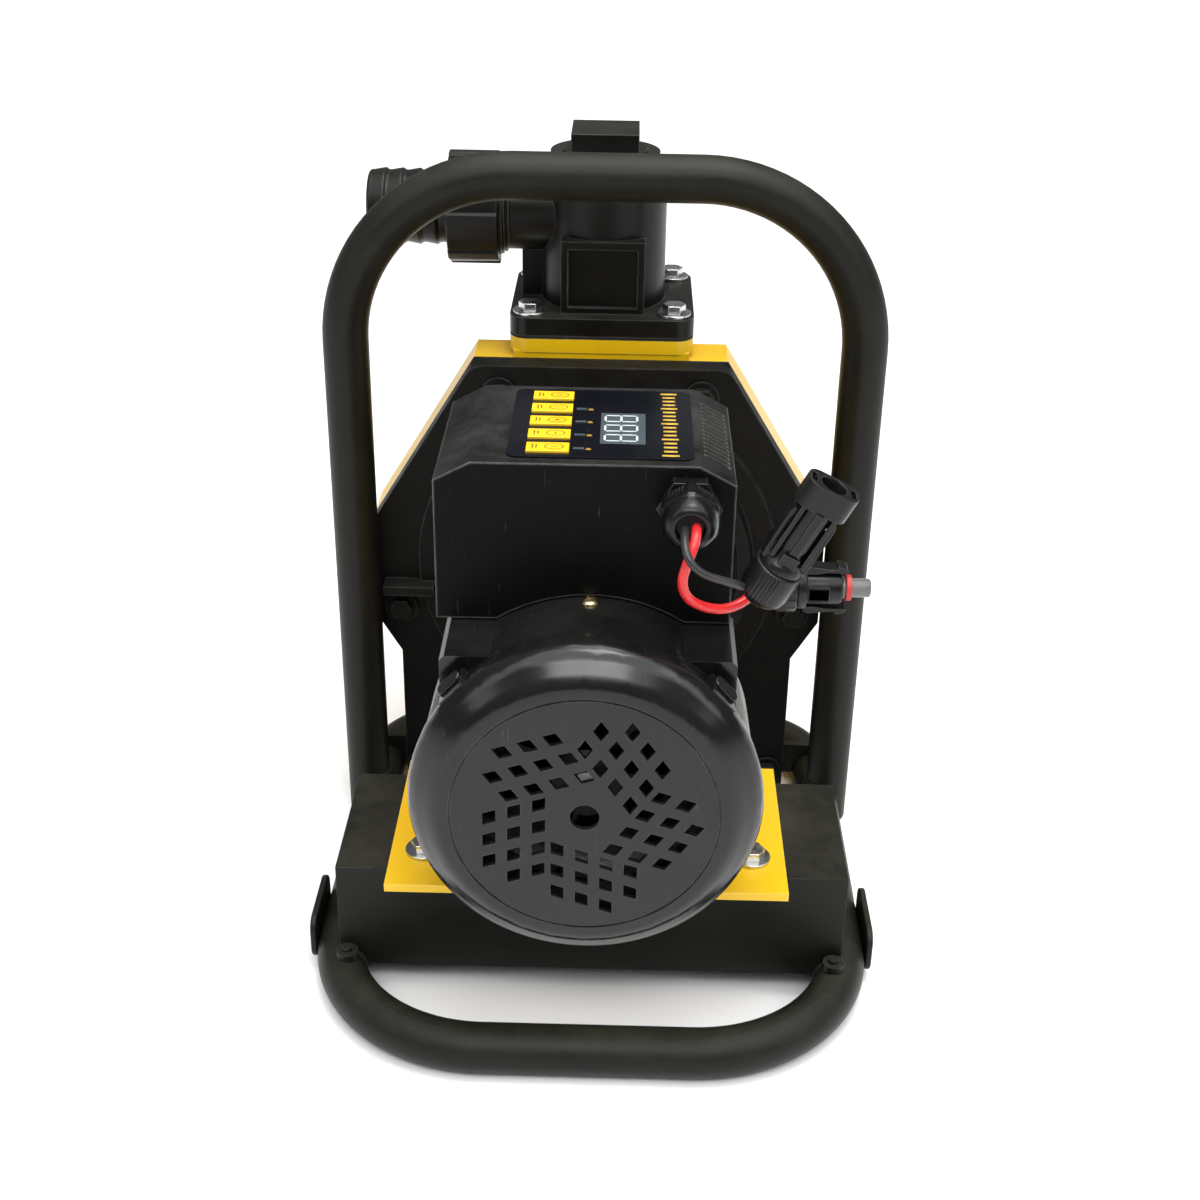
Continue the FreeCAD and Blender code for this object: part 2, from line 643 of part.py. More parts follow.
def adapter_outline():
    half, top, foot, low = s.casing_half, s.casing_top, s.foot_half, foot_drop
    up, down, shoulder = s.shoulder_up, s.shoulder_down, s.foot_shoulder
    right = [(s.casing_top_half, top), (half, up), (half, -down), (foot, -shoulder), (foot, -low),
             (foot - 22, -low), (foot - 34, 24 - low)]
    left = [(-x, z) for x, z in reversed(right)]
    return right + left


def build_pump():
    adapter = new_body("pump_adapter", ON_MOTOR_AXIS, FRONT)
    pad(adapter, outline(adapter_outline()), s.adapter_t, -adapter_rear, "adapter_plate")
    top_height = number_of(s.casing_top) - 1
    round_edges(adapter, 10, lambda edge, middle: is_upright(edge, middle) and middle.y > top_height,
                "adapter_top_corners")
    start = -s.adapter_start
    rear_seat = s.housing_rear - s.bearing_w
    revolve(adapter, [(13, start - 1), (s.neck_r, start - 1), (s.neck_r, start + 3), (s.neck_r - 12, start + 3),
                      (s.neck_r - 14, start + 9), (72, start + 11), (housing_r + 4, s.housing_rear - 5),
                      (housing_r + 4, s.housing_rear - 0.02), (s.housing_bore - 1, s.housing_rear - 0.02),
                      (s.housing_bore - 8, start + 8), (28, start + 8), (28, s.housing_rear),
                      (s.bearing_r, s.housing_rear), (s.bearing_r, rear_seat), (13, rear_seat)],
            "adapter_neck")
    pocket(adapter, circle(13), s.adapter_t + 2, -adapter_rear, "shaft_hole")
    pocket(adapter, circle(18), 8, -adapter_rear, "seal_pocket")
    foot_holes = [(side * (s.foot_half - 9), 9 - foot_drop) for side in (-1, 1)]
    pocket(adapter, circles(s.bolt_r + s.slip, foot_holes), s.adapter_t, -adapter_rear, "foot_holes")
    rib = outline([(84, -16), (s.casing_half - 6, -16), (s.casing_half - 6, -11), (84, -11)])
    pad(adapter, rib, 12, start - 1, "adapter_rib_right")
    rib = outline([(6 - s.casing_half, -16), (-84, -16), (-84, -11), (6 - s.casing_half, -11)])
    pad(adapter, rib, 12, start - 1, "adapter_rib_left")
    bolts = casing_bolt_places()
    pocket(adapter, circles(s.bolt_r + s.slip, bolts), s.adapter_t + 20, -adapter_rear, "casing_bolt_holes")

    gasket = new_body("casing_gasket", ON_MOTOR_AXIS, FRONT)
    pad(gasket, outline(casing_outline()), s.gasket_t, -casing_start, "gasket_sheet")
    pocket(gasket, outline(casing_outline(s.casing_wall * 2)), s.gasket_t, -casing_start, "gasket_window")
    pocket(gasket, circles(s.bolt_r + s.slip, bolts), s.gasket_t, -casing_start, "gasket_holes")

    casing = new_body("casing_shell", ON_MOTOR_AXIS, FRONT)
    straight_end = casing_start + s.casing_straight
    pad(casing, outline(casing_outline()), s.casing_straight, -straight_end, "casing_rim")
    taper(casing, "Additive", 0, -straight_end, -casing_end, "casing_taper")
    pad(casing, circle(s.suction_r + 12, (0, s.suction_rise)), 8, -casing_end - 8, "suction_boss")
    pocket(casing, outline(casing_outline(s.casing_wall)), s.casing_straight, -straight_end, "casing_hollow")
    taper(casing, "Subtractive", s.casing_wall, -straight_end, s.casing_wall - casing_end, "casing_inside")
    pad(casing, circles(8.5, bolts), s.casing_straight - 2, 2 - straight_end, "bolt_bosses")
    pocket(casing, circles(s.bolt_r + s.slip, bolts), s.casing_straight, 4 - straight_end, "casing_bolt_holes")
    pocket(casing, circle(s.suction_r, (0, s.suction_rise)), s.casing_wall + 12, -casing_end - 9, "suction_hole")
    drain = (0, 14 - s.casing_bottom * s.rear_scale)
    pocket(casing, circle(5, drain), s.casing_wall + 2, -casing_end - 1, "drain_hole")
    flange = new_body("casing_flange", (s.motor_x, outlet_y + 0.25, casing_flange_z))
    pad(flange, outline(rectangle(s.flange_width, s.flange_depth)), s.casing_flange_t, name="casing_flange_sheet")
    round_edges(flange, 9, is_upright, "casing_flange_corners")
    pedestal_z = motor_z + s.impeller_r + 15
    pedestal = block("flange_pedestal", (s.motor_x - s.flange_width / 2 + 2, s.hoop_y + casing_start, pedestal_z),
                     (s.flange_width - 4, s.casing_depth - 8, casing_flange_z - pedestal_z + 0.5))
    mouth = rod("casing_mouth", s.column_r - s.column_wall, casing_flange_z - pedestal_z + 24,
                (s.motor_x, outlet_y, pedestal_z - 12))
    threads = [rod(f"casing_thread_{i}", s.bolt_r, s.casing_flange_t + 6,
                   (s.motor_x + x, outlet_y + y, casing_flange_z - 6)) for i, (x, y) in enumerate(flange_bolts())]
    pump_casing = cut("pump_casing", fuse("casing_with_flange", [casing, flange, pedestal]), [mouth] + threads)

    start = -(casing_start + 6)
    impeller = new_body("impeller", ON_MOTOR_AXIS, FRONT)
    pad(impeller, circle(s.impeller_r), 3, start - 3, "back_shroud")
    pad(impeller, circle(12), s.impeller_w, start - s.impeller_w, "impeller_hub")
    vane = outline([(10, -1.5), (s.impeller_r - 1, 14), (s.impeller_r - 2, 17), (10, 1.5)])
    polar(impeller, pad(impeller, vane, s.impeller_w, start - s.impeller_w, "vane"), 6, "vanes")
    pocket(impeller, circle(7), 60, start - 40, "impeller_bore")

    seal_seat = ring("seal_seat", 17.8, 8, 7, (s.motor_x, s.hoop_y + adapter_rear, motor_z), FRONT)
    seal_head = ring("seal_head", 12, 7, 6.9, (s.motor_x, s.hoop_y + casing_start + 5.9, motor_z), FRONT)
    guide = s.impeller_r + 2
    diffuser = turned("diffuser", [
        (guide, -adapter_rear), (guide + 10, -adapter_rear), (guide + 10, start - s.impeller_w - 5),
        (s.eye_r, start - s.impeller_w - 5), (s.eye_r, start - s.impeller_w - 2),
        (guide, start - s.impeller_w - 2)], ON_MOTOR_AXIS, FRONT)
    suction_z = motor_z + s.suction_rise
    fitting = turned("suction_fitting", [
        (s.branch_bore, casing_end + 4.2), (s.suction_r - s.slip, casing_end + 4.2),
        (s.suction_r - s.slip, casing_end + 8), (s.suction_r + 12, casing_end + 8),
        (s.suction_r + 12, casing_end + 15), (s.suction_r + 3, casing_end + 15), (s.suction_r + 2, s.suction_end), (s.branch_bore + 3, s.suction_end),
        (s.branch_bore + 3, s.suction_end - 16), (s.branch_bore, s.suction_end - 16)],
        (s.motor_x, s.hoop_y, suction_z), REAR)
    flap_y = s.hoop_y + casing_end + 1
    flap_disc = rod("flap_disc", s.suction_r - 1.5, 3, (s.motor_x, flap_y, suction_z), REAR)
    flap_ear = rod("flap_ear", 1.4, 12, (s.motor_x - 6, flap_y + 1.5, suction_z + s.suction_r - 2.2),
                   Rotation(Vector(0, 1, 0), 90))
    flap = fuse("check_flap", [flap_disc, flap_ear])
    drain_plug = turned("drain_plug", [(0, 0), (9, 0), (9, 6), (5, 6), (5, 14), (0, 14)],
                   (s.motor_x, s.hoop_y + casing_end + 6, motor_z + drain[1]), FRONT)
    return [adapter, gasket, pump_casing, build_casing_bolts(), impeller, seal_seat, seal_head, diffuser, fitting,
            flap, drain_plug]


def taper(body, kind, inset, front, rear, name):
    """Lofts the eight-sided outline from its full size down to its size at the rear."""
    sketches = []
    for end, lift, scale in (("front", front, 1), ("rear", rear, s.rear_scale)):
        sketch = new_sketch(body, "XY_Plane", f"{name}_{end}", lift)
        draw_outline(sketch, casing_outline(inset, scale))
        sketches.append(sketch)
    loft = body.newObject(f"PartDesign::{kind}Loft", name)
    loft.Profile = sketches[0]
    loft.Sections = [sketches[1]]
    loft.Ruled = True
    return loft


def casing_bolt_places():
    """Six bolts inside the casing's rim, as (x, z) from the motor's axis."""
    side, top, low = s.casing_half - 14, s.casing_top - 14, s.casing_bottom - 14
    return [(-side, -27), (side, -27), (-50, top), (50, top), (-50, -low), (50, -low)]


def build_casing_bolts():
    items = []
    for index, (x, z) in enumerate(casing_bolt_places()):
        items += hex_bolt(f"casing_bolt_{index}", (s.motor_x + x, s.hoop_y + s.adapter_start, motor_z + z),
                          s.adapter_t + 14, FRONT)
    return group("casing_bolts", items)


def flange_bolts():
    return corners(s.flange_width / 2 - 10, s.flange_depth / 2 - 10)


# ---------------------------------------------------------------- outlet
def build_outlet():
    width, depth = s.flange_width, s.flange_depth
    gasket = new_body("outlet_gasket", (s.motor_x, outlet_y, flange_z - s.gasket_t))
    pad(gasket, outline(rectangle(width, depth)), s.gasket_t, name="outlet_gasket_sheet")
    round_edges(gasket, 9, is_upright, "outlet_gasket_corners")
    pocket(gasket, circle(s.column_r - s.column_wall), s.gasket_t, name="outlet_gasket_mouth")
    pocket(gasket, circles(s.bolt_r + s.slip, flange_bolts()), s.gasket_t, name="outlet_gasket_holes")

    foot = new_body("outlet_flange", (s.motor_x, outlet_y, flange_z))
    pad(foot, outline(rectangle(width, depth)), s.outlet_flange_t, name="outlet_flange_sheet")
    round_edges(foot, 9, is_upright, "outlet_flange_corners")
    pocket(foot, circles(s.bolt_r + s.slip, flange_bolts()), s.outlet_flange_t, name="outlet_flange_holes")
    column_at = (s.motor_x, outlet_y, flange_z)
    column = turned("outlet_column", [
        (0, 0), (s.column_r, 0), (s.column_r, s.column_top - flange_z - 4),
        (s.collar_r + 1.5, s.column_top - flange_z),
        (s.collar_r, s.column_top - flange_z), (s.collar_r, s.collar_top - flange_z),
        (0, s.collar_top - flange_z)], column_at)
    branch_at = (s.motor_x, outlet_y, s.branch_z)
    pipe = rod("branch_pipe", s.branch_r, s.branch_end, branch_at, LEFT)
    thread_at = (s.motor_x - s.branch_end, outlet_y, s.branch_z)
    thread = rod("branch_thread", s.thread_r, s.thread_length, thread_at, LEFT)
    front_boss = block("front_boss", (s.motor_x - 20.5, outlet_y - s.column_r - 2, flange_z),
                       (41, s.column_r, 45))
    boss_recess = block("boss_recess", (s.motor_x - 17, outlet_y - s.column_r - 3, flange_z + 12),
                        (34, 3, 29))
    web = block("branch_web", (s.motor_x - 41, outlet_y - 4, flange_z), (30, 8, s.branch_z - flange_z - 8))
    inside = rod("column_bore", s.column_r - s.column_wall, s.column_top - flange_z - 14, column_at)
    plug_hole = rod("plug_bore", s.collar_r - 6, 60, (s.motor_x, outlet_y, s.column_top - 16))
    bore = rod("branch_bore", s.branch_bore, s.branch_end + s.thread_length + 2, branch_at, LEFT)
    body = cut("outlet_body", fuse("outlet_solid", [foot, column, pipe, thread, front_boss, web]),
               [inside, plug_hole, bore, boss_recess])

    hardware = []
    for index, (x, y) in enumerate(flange_bolts()):
        hardware += hex_bolt(f"flange_bolt_{index}", (s.motor_x + x, outlet_y + y, flange_z + s.outlet_flange_t),
                             s.outlet_flange_t + 10)
    bolts = group("flange_bolts", hardware)

    face_x = s.branch_end + s.thread_length
    at = branch_at
    seal = ring("union_seal", s.thread_r - 2, s.branch_bore, 2, (s.motor_x - face_x, outlet_y, s.branch_z), LEFT)
    collar = face_x + 2
    barb_start = face_x - s.thread_length + s.nut_length + 1
    ridges = []
    for index in range(4):
        z = barb_start + 6 + index * 8.5
        ridges += [(s.barb_r, z), (s.barb_r + s.barb_ridge, z + 1), (s.barb_r, z + 7)]
    barb = turned("hose_barb", [
        (s.barb_bore, collar), (s.thread_r - 0.5, collar), (s.thread_r - 0.5, collar + 4),
        (s.barb_r, collar + 4)] + ridges + [(s.barb_r, barb_start + s.barb_length - 1),
        (s.barb_r - 1, barb_start + s.barb_length), (s.barb_bore, barb_start + s.barb_length)], at, LEFT)
    nut = new_body("union_nut", at, LEFT)
    nut_start = face_x - s.thread_length + 2
    revolve(nut, [(s.thread_r + s.slip, nut_start), (s.nut_r - 1.5, nut_start),
                  (s.nut_r - 1, nut_start + s.nut_length), (s.barb_r + 1.5, nut_start + s.nut_length),
                  (s.barb_r + 1.5, collar + 4.3), (s.thread_r + s.slip, collar + 4.3)], "nut_shell")
    lug = outline([(s.nut_r - 3, -4), (s.nut_r + 0.2, -3), (s.nut_r + 0.2, 3), (s.nut_r - 3, 4)])
    polar(nut, pad(nut, lug, s.nut_length, nut_start, "nut_lug"), 8, "nut_lugs")

    plug_block = middle_block("plug_block", (s.motor_x, outlet_y), s.collar_top + s.slip,
                              (s.plug_size, s.plug_size, s.plug_top - s.collar_top - s.slip))
    shank = rod("plug_shank", s.collar_r - 6.06, 18, (s.motor_x, outlet_y, s.collar_top + s.slip - 17))
    plug = fuse("priming_plug", [plug_block, shank])
    return [gasket, body, bolts, seal, barb, nut, plug]


# ---------------------------------------------------------------- controller
def build_controller():
    half, top, low = s.case_width / 2, s.case_top, s.case_bottom
    shell = new_body("case_block", (s.case_x, s.case_depth - s.case_front, 0), FRONT)
    wall = s.case_wall
    outer = [(-half, low), (half, low), (half, top - s.bevel_z), (half - s.bevel_x, top),
             (s.bevel_x - half, top), (-half, top - s.bevel_z)]
    pad(shell, outline(outer), s.case_depth, name="case_outer")
    inner = [(wall - half, low), (half - wall, low), (half - wall, top - s.bevel_z - wall * 0.7),
             (half - s.bevel_x - wall * 0.5, top - wall), (s.bevel_x + wall * 0.5 - half, top - wall),
             (wall - half, top - s.bevel_z - wall * 0.7)]
    pocket(shell, outline(inner), s.case_depth - wall * 2, wall, "case_hollow")
    saddle = rod("case_saddle", s.skirt_bore + s.cover_wall + 1, 300, (s.motor_x, s.hoop_y + 50, motor_z), FRONT)
    window = middle_block("keypad_window", (s.button_x, case_y), top - 10,
                          (s.button_length + 2 * s.slip, s.button_pitch * 4 + s.button_width + 2 * s.slip, 20))
    display_y = case_y - s.display_ahead
    screen = middle_block("screen_window", (s.display_x, display_y), top - 10,
                          (s.display_width, s.display_length, 20))
    vent_x = s.case_x + half - s.bevel_x + 2.5
    vents = [block(f"vent_{row}", (vent_x, case_y + (row - 6.5) * s.vent_pitch, top - 12),
                   (10, s.vent_width, 20)) for row in range(14)]
    gland_hole = rod("gland_hole", 10, 20, (s.gland_x, 10 - s.case_front, s.gland_z), FRONT)
    case = cut("controller_case", shell, [saddle, window, screen, gland_hole] + vents)

    base_z = motor_z + s.skirt_bore + s.cover_wall + 1.6
    base = middle_block("controller_base", (s.case_x, case_y), base_z,
                        (s.case_width - wall * 2 - 0.4, s.case_depth - wall * 2 - 0.4, 2))
    board = middle_block("circuit_board", (s.case_x, case_y), top - 14,
                         (s.case_width - 34, s.case_depth - 26, 1.6))
    panel = new_body("panel_plate", (s.display_x - 8.8, case_y, top))
    pad(panel, outline(rectangle(s.panel_width, s.panel_depth)), s.panel_t, name="panel_sheet")
    round_edges(panel, 4, is_upright, "panel_corners")
    slots, buttons = [], []
    for index in range(5):
        spot = (s.button_x, case_y + (index - 2) * s.button_pitch)
        slots.append(middle_block(f"button_slot_{index}", spot, top - 5,
                                  (s.button_length + 2 * s.slip, s.button_width + 2 * s.slip, 10)))
        buttons.append(middle_block(f"button_{index + 1}", spot, top - 2,
                                    (s.button_length, s.button_width, 2 + s.panel_t + s.button_travel + 0.2)))
    screen_slot = middle_block("screen_slot", (s.display_x, display_y), top - 5,
                               (s.display_width, s.display_length, 10))
    label_panel = cut("label_panel", panel, slots + [screen_slot])
    display = middle_block("led_display", (s.display_x, display_y), top - 12.4,
                           (s.display_width - 0.4, s.display_length - 0.4, 12.4 + s.panel_t))
    leds = group("status_leds", [
        middle_block(f"status_led_{index}", (s.led_x, case_y + (index - 2) * s.button_pitch), top + s.panel_t,
                     (4.5, 1.6, 0.4)) for index in range(4)])

    at = (s.gland_x, -s.case_front, s.gland_z)
    gland_hex = hexagon("gland_hex", 13.2, 6, at, FRONT)
    gland_stem = rod("gland_stem", 9.6, 22, (s.gland_x, 9 - s.case_front, s.gland_z), FRONT)
    gland_bore = rod("gland_bore", s.gland_r + 1, 40, (s.gland_x, 12 - s.case_front, s.gland_z), FRONT)
    gland_body = cut("gland_body", fuse("gland_solid", [gland_hex, gland_stem]), [gland_bore])
    gland_nut = turned("gland_nut", [
        (9.9, 6.5), (s.gland_nut_r, 6.5), (s.gland_nut_r, 18), (s.gland_nut_r - 1, 22), (8, 24.5),
        (s.gland_r + 0.4, 24.5), (s.gland_r + 0.4, 16), (9.9, 13.5)], at, FRONT)
    gland_seal = rod("gland_seal", s.gland_r, 24, (s.gland_x, 2 - s.case_front, s.gland_z), FRONT)
    return [case, base, board, label_panel, display, leds, gland_body, gland_nut, gland_seal] + buttons


# ---------------------------------------------------------------- wires and their connectors
RED_ROUTE = [(39.1, -144, 254.5), (39.0, -150, 254.3), (37.8, -154.4, 250.9), (35.4, -155.9, 244.4),
             (33.6, -155.2, 236.4), (35.8, -153.2, 228.6), (42.2, -149.6, 223.0), (50.2, -145.8, 219.8),
             (57.0, -141.4, 219.8), (62.5, -138.0, 222.6), (68.0, -136, 225.8)]
BLACK_ROUTE = [(34.5, -144, 254.5), (34.3, -151.6, 254.6), (34.3, -158.8, 252.4), (36.6, -162.4, 247.6),
               (42.0, -162.8, 243.4), (48.8, -161.0, 240.4), (55.4, -158.0, 237.2), (60.6, -155.2, 233.9)]
PLUG_AT, PLUG_AXIS, PLUG_SIDE = (68, -136, 226), (1, 0, 0), (0, 0, -1)
SOCKET_AT, SOCKET_AXIS, SOCKET_SIDE = (63.5, -152.5, 229), (0.443, -0.113, 0.889), (0.885, 0, -0.466)


def cord_path(points):
    """Straight runs joined by tangent arcs, each arc as large as its two runs allow."""
    points = [Vector(*point) for point in points]
    edges, start = [], points[0]
    for index in range(1, len(points) - 1):
        before, here, after = points[index - 1:index + 2]
        arriving, leaving = (here - before).normalize(), (after - here).normalize()
        turn = arriving.getAngle(leaving)
        reach = 0.45 * min((here - before).Length, (after - here).Length)
        radius = reach / math.tan(turn / 2)
        print(f"bend {index}: turn {math.degrees(turn):.0f} deg, radius {radius:.1f} mm")
        first, last = here - arriving * reach, here + leaving * reach
        inwards = (leaving - arriving).normalize()
        middle = here + inwards * (radius / math.cos(turn / 2) - radius)
        edges.append(Part.LineSegment(start, first).toShape())
        edges.append(Part.Arc(first, middle, last).toShape())
        start = last
    edges.append(Part.LineSegment(start, points[-1]).toShape())
    return Part.Wire(edges)


def cord(name, points, radius):
    path = cord_path(points)
    direction = Vector(*points[1]) - Vector(*points[0])
    section = Part.Wire([Part.makeCircle(number_of(radius), Vector(*points[0]), direction)])
    item = doc.addObject("Part::Feature", name)
    item.Shape = path.makePipeShell([section], True, True)
    expected = math.pi * number_of(radius) ** 2 * path.Length
    print(f"{name}: length {path.Length:.1f} mm, volume {item.Shape.Volume / expected:.3f} of expected")
    return item


def connector_nut(name, at, turn, length, wire_r):
    """A ribbed cap nut with a rounded rear end, closed around its wire."""
    nut = new_body(name, at, turn)
    hole = wire_r + 0.02
    revolve(nut, [(hole, 0), (6.8, 0), (8.8, 2), (9.6, 5), (9.6, length), (hole, length)], name + "_core")
    rib = outline([(8.8, -0.9), (10.2, -0.6), (10.2, 0.6), (8.8, 0.9)])
    polar(nut, pad(nut, rib, length - 5, 5, name + "_rib"), 16, name + "_ribs")
    return nut


def build_plug():
    """The solar plug: nut, barrel with two latch arms, the sealing ring on its land, and a nose."""
    turn = Rotation(Vector(*PLUG_SIDE), Vector(), Vector(*PLUG_AXIS), "ZXY")
    barrel = new_body("plug_body", PLUG_AT, turn)
    pad(barrel, circle(8.4), 4, 12, "plug_collar")
    pad(barrel, circle(7), 14, 16, "plug_barrel")
    latch = outline(rectangle(2.6, 8, (9, 0)))
    polar(barrel, pad(barrel, latch, 17, 14, "plug_latch"), 2, "plug_latches")
    pad(barrel, circle(4.2), 4, 30, "plug_ring_land")
    pad(barrel, circle(3.8), 7.5, 34, "plug_nose")
    ring_at = (PLUG_AT[0] + 31.5, PLUG_AT[1], PLUG_AT[2])
    seal = ring("plug_oring", 5.2, 4.25, 2.2, ring_at, turn)
    return [connector_nut("plug_nut", PLUG_AT, turn, 12, s.red_wire_r), barrel, seal]


def build_socket():
    """The solar socket: nut, barrel with latch windows, and a wide oval head with a round mouth."""
    turn = Rotation(Vector(*SOCKET_SIDE), Vector(), Vector(*SOCKET_AXIS), "ZXY")
    barrel = new_body("socket_body", SOCKET_AT, turn)
    pad(barrel, circle(8.6), 4, 17, "socket_collar")
    pad(barrel, circle(7), 25, 21, "socket_barrel")
    pad(barrel, outline(rectangle(21.5, 12)), 11.3, 46, "socket_head")
    round_edges(barrel, 5.2, lambda edge, middle: is_upright(edge, middle) and abs(edge.Length - 11.3) < 0.2,
                "socket_head_corners")
    for side in (-1, 1):
        arm = outline(rectangle(2.4, 7.5, (side * 9, 0)))
        pad(barrel, arm, 20, 19, f"socket_arm_{side + 1}")
    pocket(barrel, circle(4.6), 28, 30, "socket_mouth")
    return [connector_nut("socket_nut", SOCKET_AT, turn, 17, s.black_wire_r), barrel]


def build_cords():
    red = cord("red_wire", RED_ROUTE, s.red_wire_r)
    black = cord("black_wire", BLACK_ROUTE, s.black_wire_r)
    return [red, black] + build_plug() + build_socket()


# ---------------------------------------------------------------- build, check and write
nodes = build_frame() + build_motor() + build_pump() + build_outlet() + build_controller() + build_cords()
for item in nodes:
    item.Label = item.Name
doc.recompute()

faults = [item.Name for item in doc.Objects if set(item.State) & {"Invalid", "Error"}]
faults += [item.Name for item in nodes if item.Shape.isNull() or not item.Shape.isValid()]
if faults:
    raise RuntimeError("these objects failed: " + ", ".join(faults))

os.makedirs("parts", exist_ok=True)
for item in nodes:
    item.Shape.exportStep(os.path.join("parts", item.Label + ".step"))
    print(f"{item.Label}: {len(item.Shape.Solids)} solids, {item.Shape.Volume / 1000:.1f} cm3")
print(f"{len(nodes)} nodes")
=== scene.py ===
# %% [markdown]
# # A solar surface pump
# This lesson dresses a finished CAD model of a small water pump. The pump, its motor and a controller box
# sit on a frame of bent tube. The CAD parts arrive as a fixed frame, in metres, and nothing moves them here.
# What is added is everything that the eye reads as real: soft edges, paint, moulded plastic, rough casting,
# wires that hang by their own stiffness, welds, threads and the small marks on the keypad.

# %% Load the fixed frame
import bmesh
import bpy
import json
import math
import random
from mathutils import Matrix, Vector

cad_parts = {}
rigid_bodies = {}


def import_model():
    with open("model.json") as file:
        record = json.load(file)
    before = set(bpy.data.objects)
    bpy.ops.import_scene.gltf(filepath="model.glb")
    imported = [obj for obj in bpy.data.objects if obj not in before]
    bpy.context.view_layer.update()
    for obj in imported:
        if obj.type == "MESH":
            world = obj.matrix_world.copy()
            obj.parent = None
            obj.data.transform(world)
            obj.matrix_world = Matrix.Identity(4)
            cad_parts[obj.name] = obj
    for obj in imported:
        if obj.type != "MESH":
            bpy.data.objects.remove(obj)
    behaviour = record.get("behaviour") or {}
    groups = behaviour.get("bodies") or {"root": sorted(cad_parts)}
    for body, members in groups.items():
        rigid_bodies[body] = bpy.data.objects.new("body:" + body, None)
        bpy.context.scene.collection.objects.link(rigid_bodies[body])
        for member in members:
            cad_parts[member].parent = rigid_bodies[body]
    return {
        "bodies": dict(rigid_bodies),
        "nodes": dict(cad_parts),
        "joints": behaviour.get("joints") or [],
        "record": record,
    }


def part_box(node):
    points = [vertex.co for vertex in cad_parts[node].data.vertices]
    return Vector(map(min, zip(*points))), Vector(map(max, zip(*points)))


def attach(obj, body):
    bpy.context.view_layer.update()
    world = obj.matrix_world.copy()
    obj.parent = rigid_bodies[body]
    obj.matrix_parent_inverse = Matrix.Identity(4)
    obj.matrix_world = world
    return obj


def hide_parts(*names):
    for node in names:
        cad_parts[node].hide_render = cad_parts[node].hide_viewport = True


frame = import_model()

MM = 0.001
PUMP_MIDDLE = Vector((0, 0, 0.15))
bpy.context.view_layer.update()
nodes = frame["nodes"]
random.seed(7)
print("parts loaded:", len(nodes))

# %% [markdown]
# ## The camera
# A small machine is best seen from a little above and a little less than a metre away, with a lens near
# the eye's own angle. The camera is described by where it stands and three small turns, because those are
# the numbers that anyone would note down at a tripod.

# %% Camera
CAMERA_PLACE = Vector((10.45, -747.2, 534.5)) * MM
LOOK_DOWN, LOOK_LEFT, ROLL = math.radians(27.38), math.radians(0.78), math.radians(0.94)
LENS_MM, SENSOR_MM = 51.58, 36.0


def camera_turn(down, left, roll):
    forward = Vector((-math.sin(left) * math.cos(down), math.cos(left) * math.cos(down), -math.sin(down)))
    level = Vector((math.cos(left), math.sin(left), 0))
    upright = level.cross(forward)
    right = level * math.cos(roll) + upright * math.sin(roll)
    top = upright * math.cos(roll) - level * math.sin(roll)
    return Matrix((right, top, -forward)).transposed()


camera_data = bpy.data.cameras.new("camera")
camera_data.lens, camera_data.sensor_width = LENS_MM, SENSOR_MM
camera = bpy.data.objects.new("camera", camera_data)
camera.matrix_world = Matrix.Translation(CAMERA_PLACE) @ camera_turn(LOOK_DOWN, LOOK_LEFT, ROLL).to_4x4()
bpy.context.scene.collection.objects.link(camera)
bpy.context.scene.camera = camera
print("camera stands", round((CAMERA_PLACE - PUMP_MIDDLE).length, 2), "m from the pump")

# %% [markdown]
# ## The two leads
# Two insulated wires leave the cable gland and end in the halves of a solar connector. They are short and
# springy, so each is one smooth NURBS curve along the route that the CAD tube follows. The curve keeps its
# real length. Its bevel is one metre deep and each point's radius scales that down to the wire, because
# Blender adds the points' radius to a curve's box, and the box should be the wire's own.

# %% Leads from the gland to the connectors
RED_RADIUS, BLACK_RADIUS, BEVEL_METRE = 2 * MM, 1.6 * MM, 1.0
RED_ROUTE = [(39.1, -144, 254.5), (39.0, -150, 254.3), (37.8, -154.4, 250.9), (35.4, -155.9, 244.4),
             (33.6, -155.2, 236.4), (35.8, -153.2, 228.6), (42.2, -149.6, 223.0), (50.2, -145.8, 219.8),
             (57.0, -141.4, 219.8), (62.5, -138.0, 222.6), (68.0, -136, 225.8)]
BLACK_ROUTE = [(34.5, -144, 254.5), (34.3, -151.6, 254.6), (34.3, -158.8, 252.4), (36.6, -162.4, 247.6),
               (42.0, -162.8, 243.4), (48.8, -161.0, 240.4), (55.4, -158.0, 237.2), (60.6, -155.2, 233.9)]


def lead(name, route, radius):
    curve = bpy.data.curves.new(name, "CURVE")
    curve.dimensions = "3D"
    spline = curve.splines.new("NURBS")
    spline.points.add(len(route) - 1)
    for point, place in zip(spline.points, route):
        point.co = (*(Vector(place) * MM), 1)
        point.radius = radius
    spline.order_u = 3
    spline.use_endpoint_u = True
    spline.resolution_u = 8
    curve.bevel_depth, curve.bevel_resolution = BEVEL_METRE, 6
    curve.use_fill_caps = True
    piece = bpy.data.objects.new(name, curve)
    bpy.context.scene.collection.objects.link(piece)
    return piece


red_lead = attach(lead("red_lead", RED_ROUTE, RED_RADIUS), "frame")
black_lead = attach(lead("black_lead", BLACK_ROUTE, BLACK_RADIUS), "frame")
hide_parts("red_wire")
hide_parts("black_wire")
print("leads:", red_lead.name, black_lead.name)

# %% [markdown]
# ## Studio
# A pale floor, a broad soft ceiling and five panels. Black plastic is only ever seen by what it reflects,
# so the lights are large panels: their long soft reflections are what draw the round cover and the tubes.

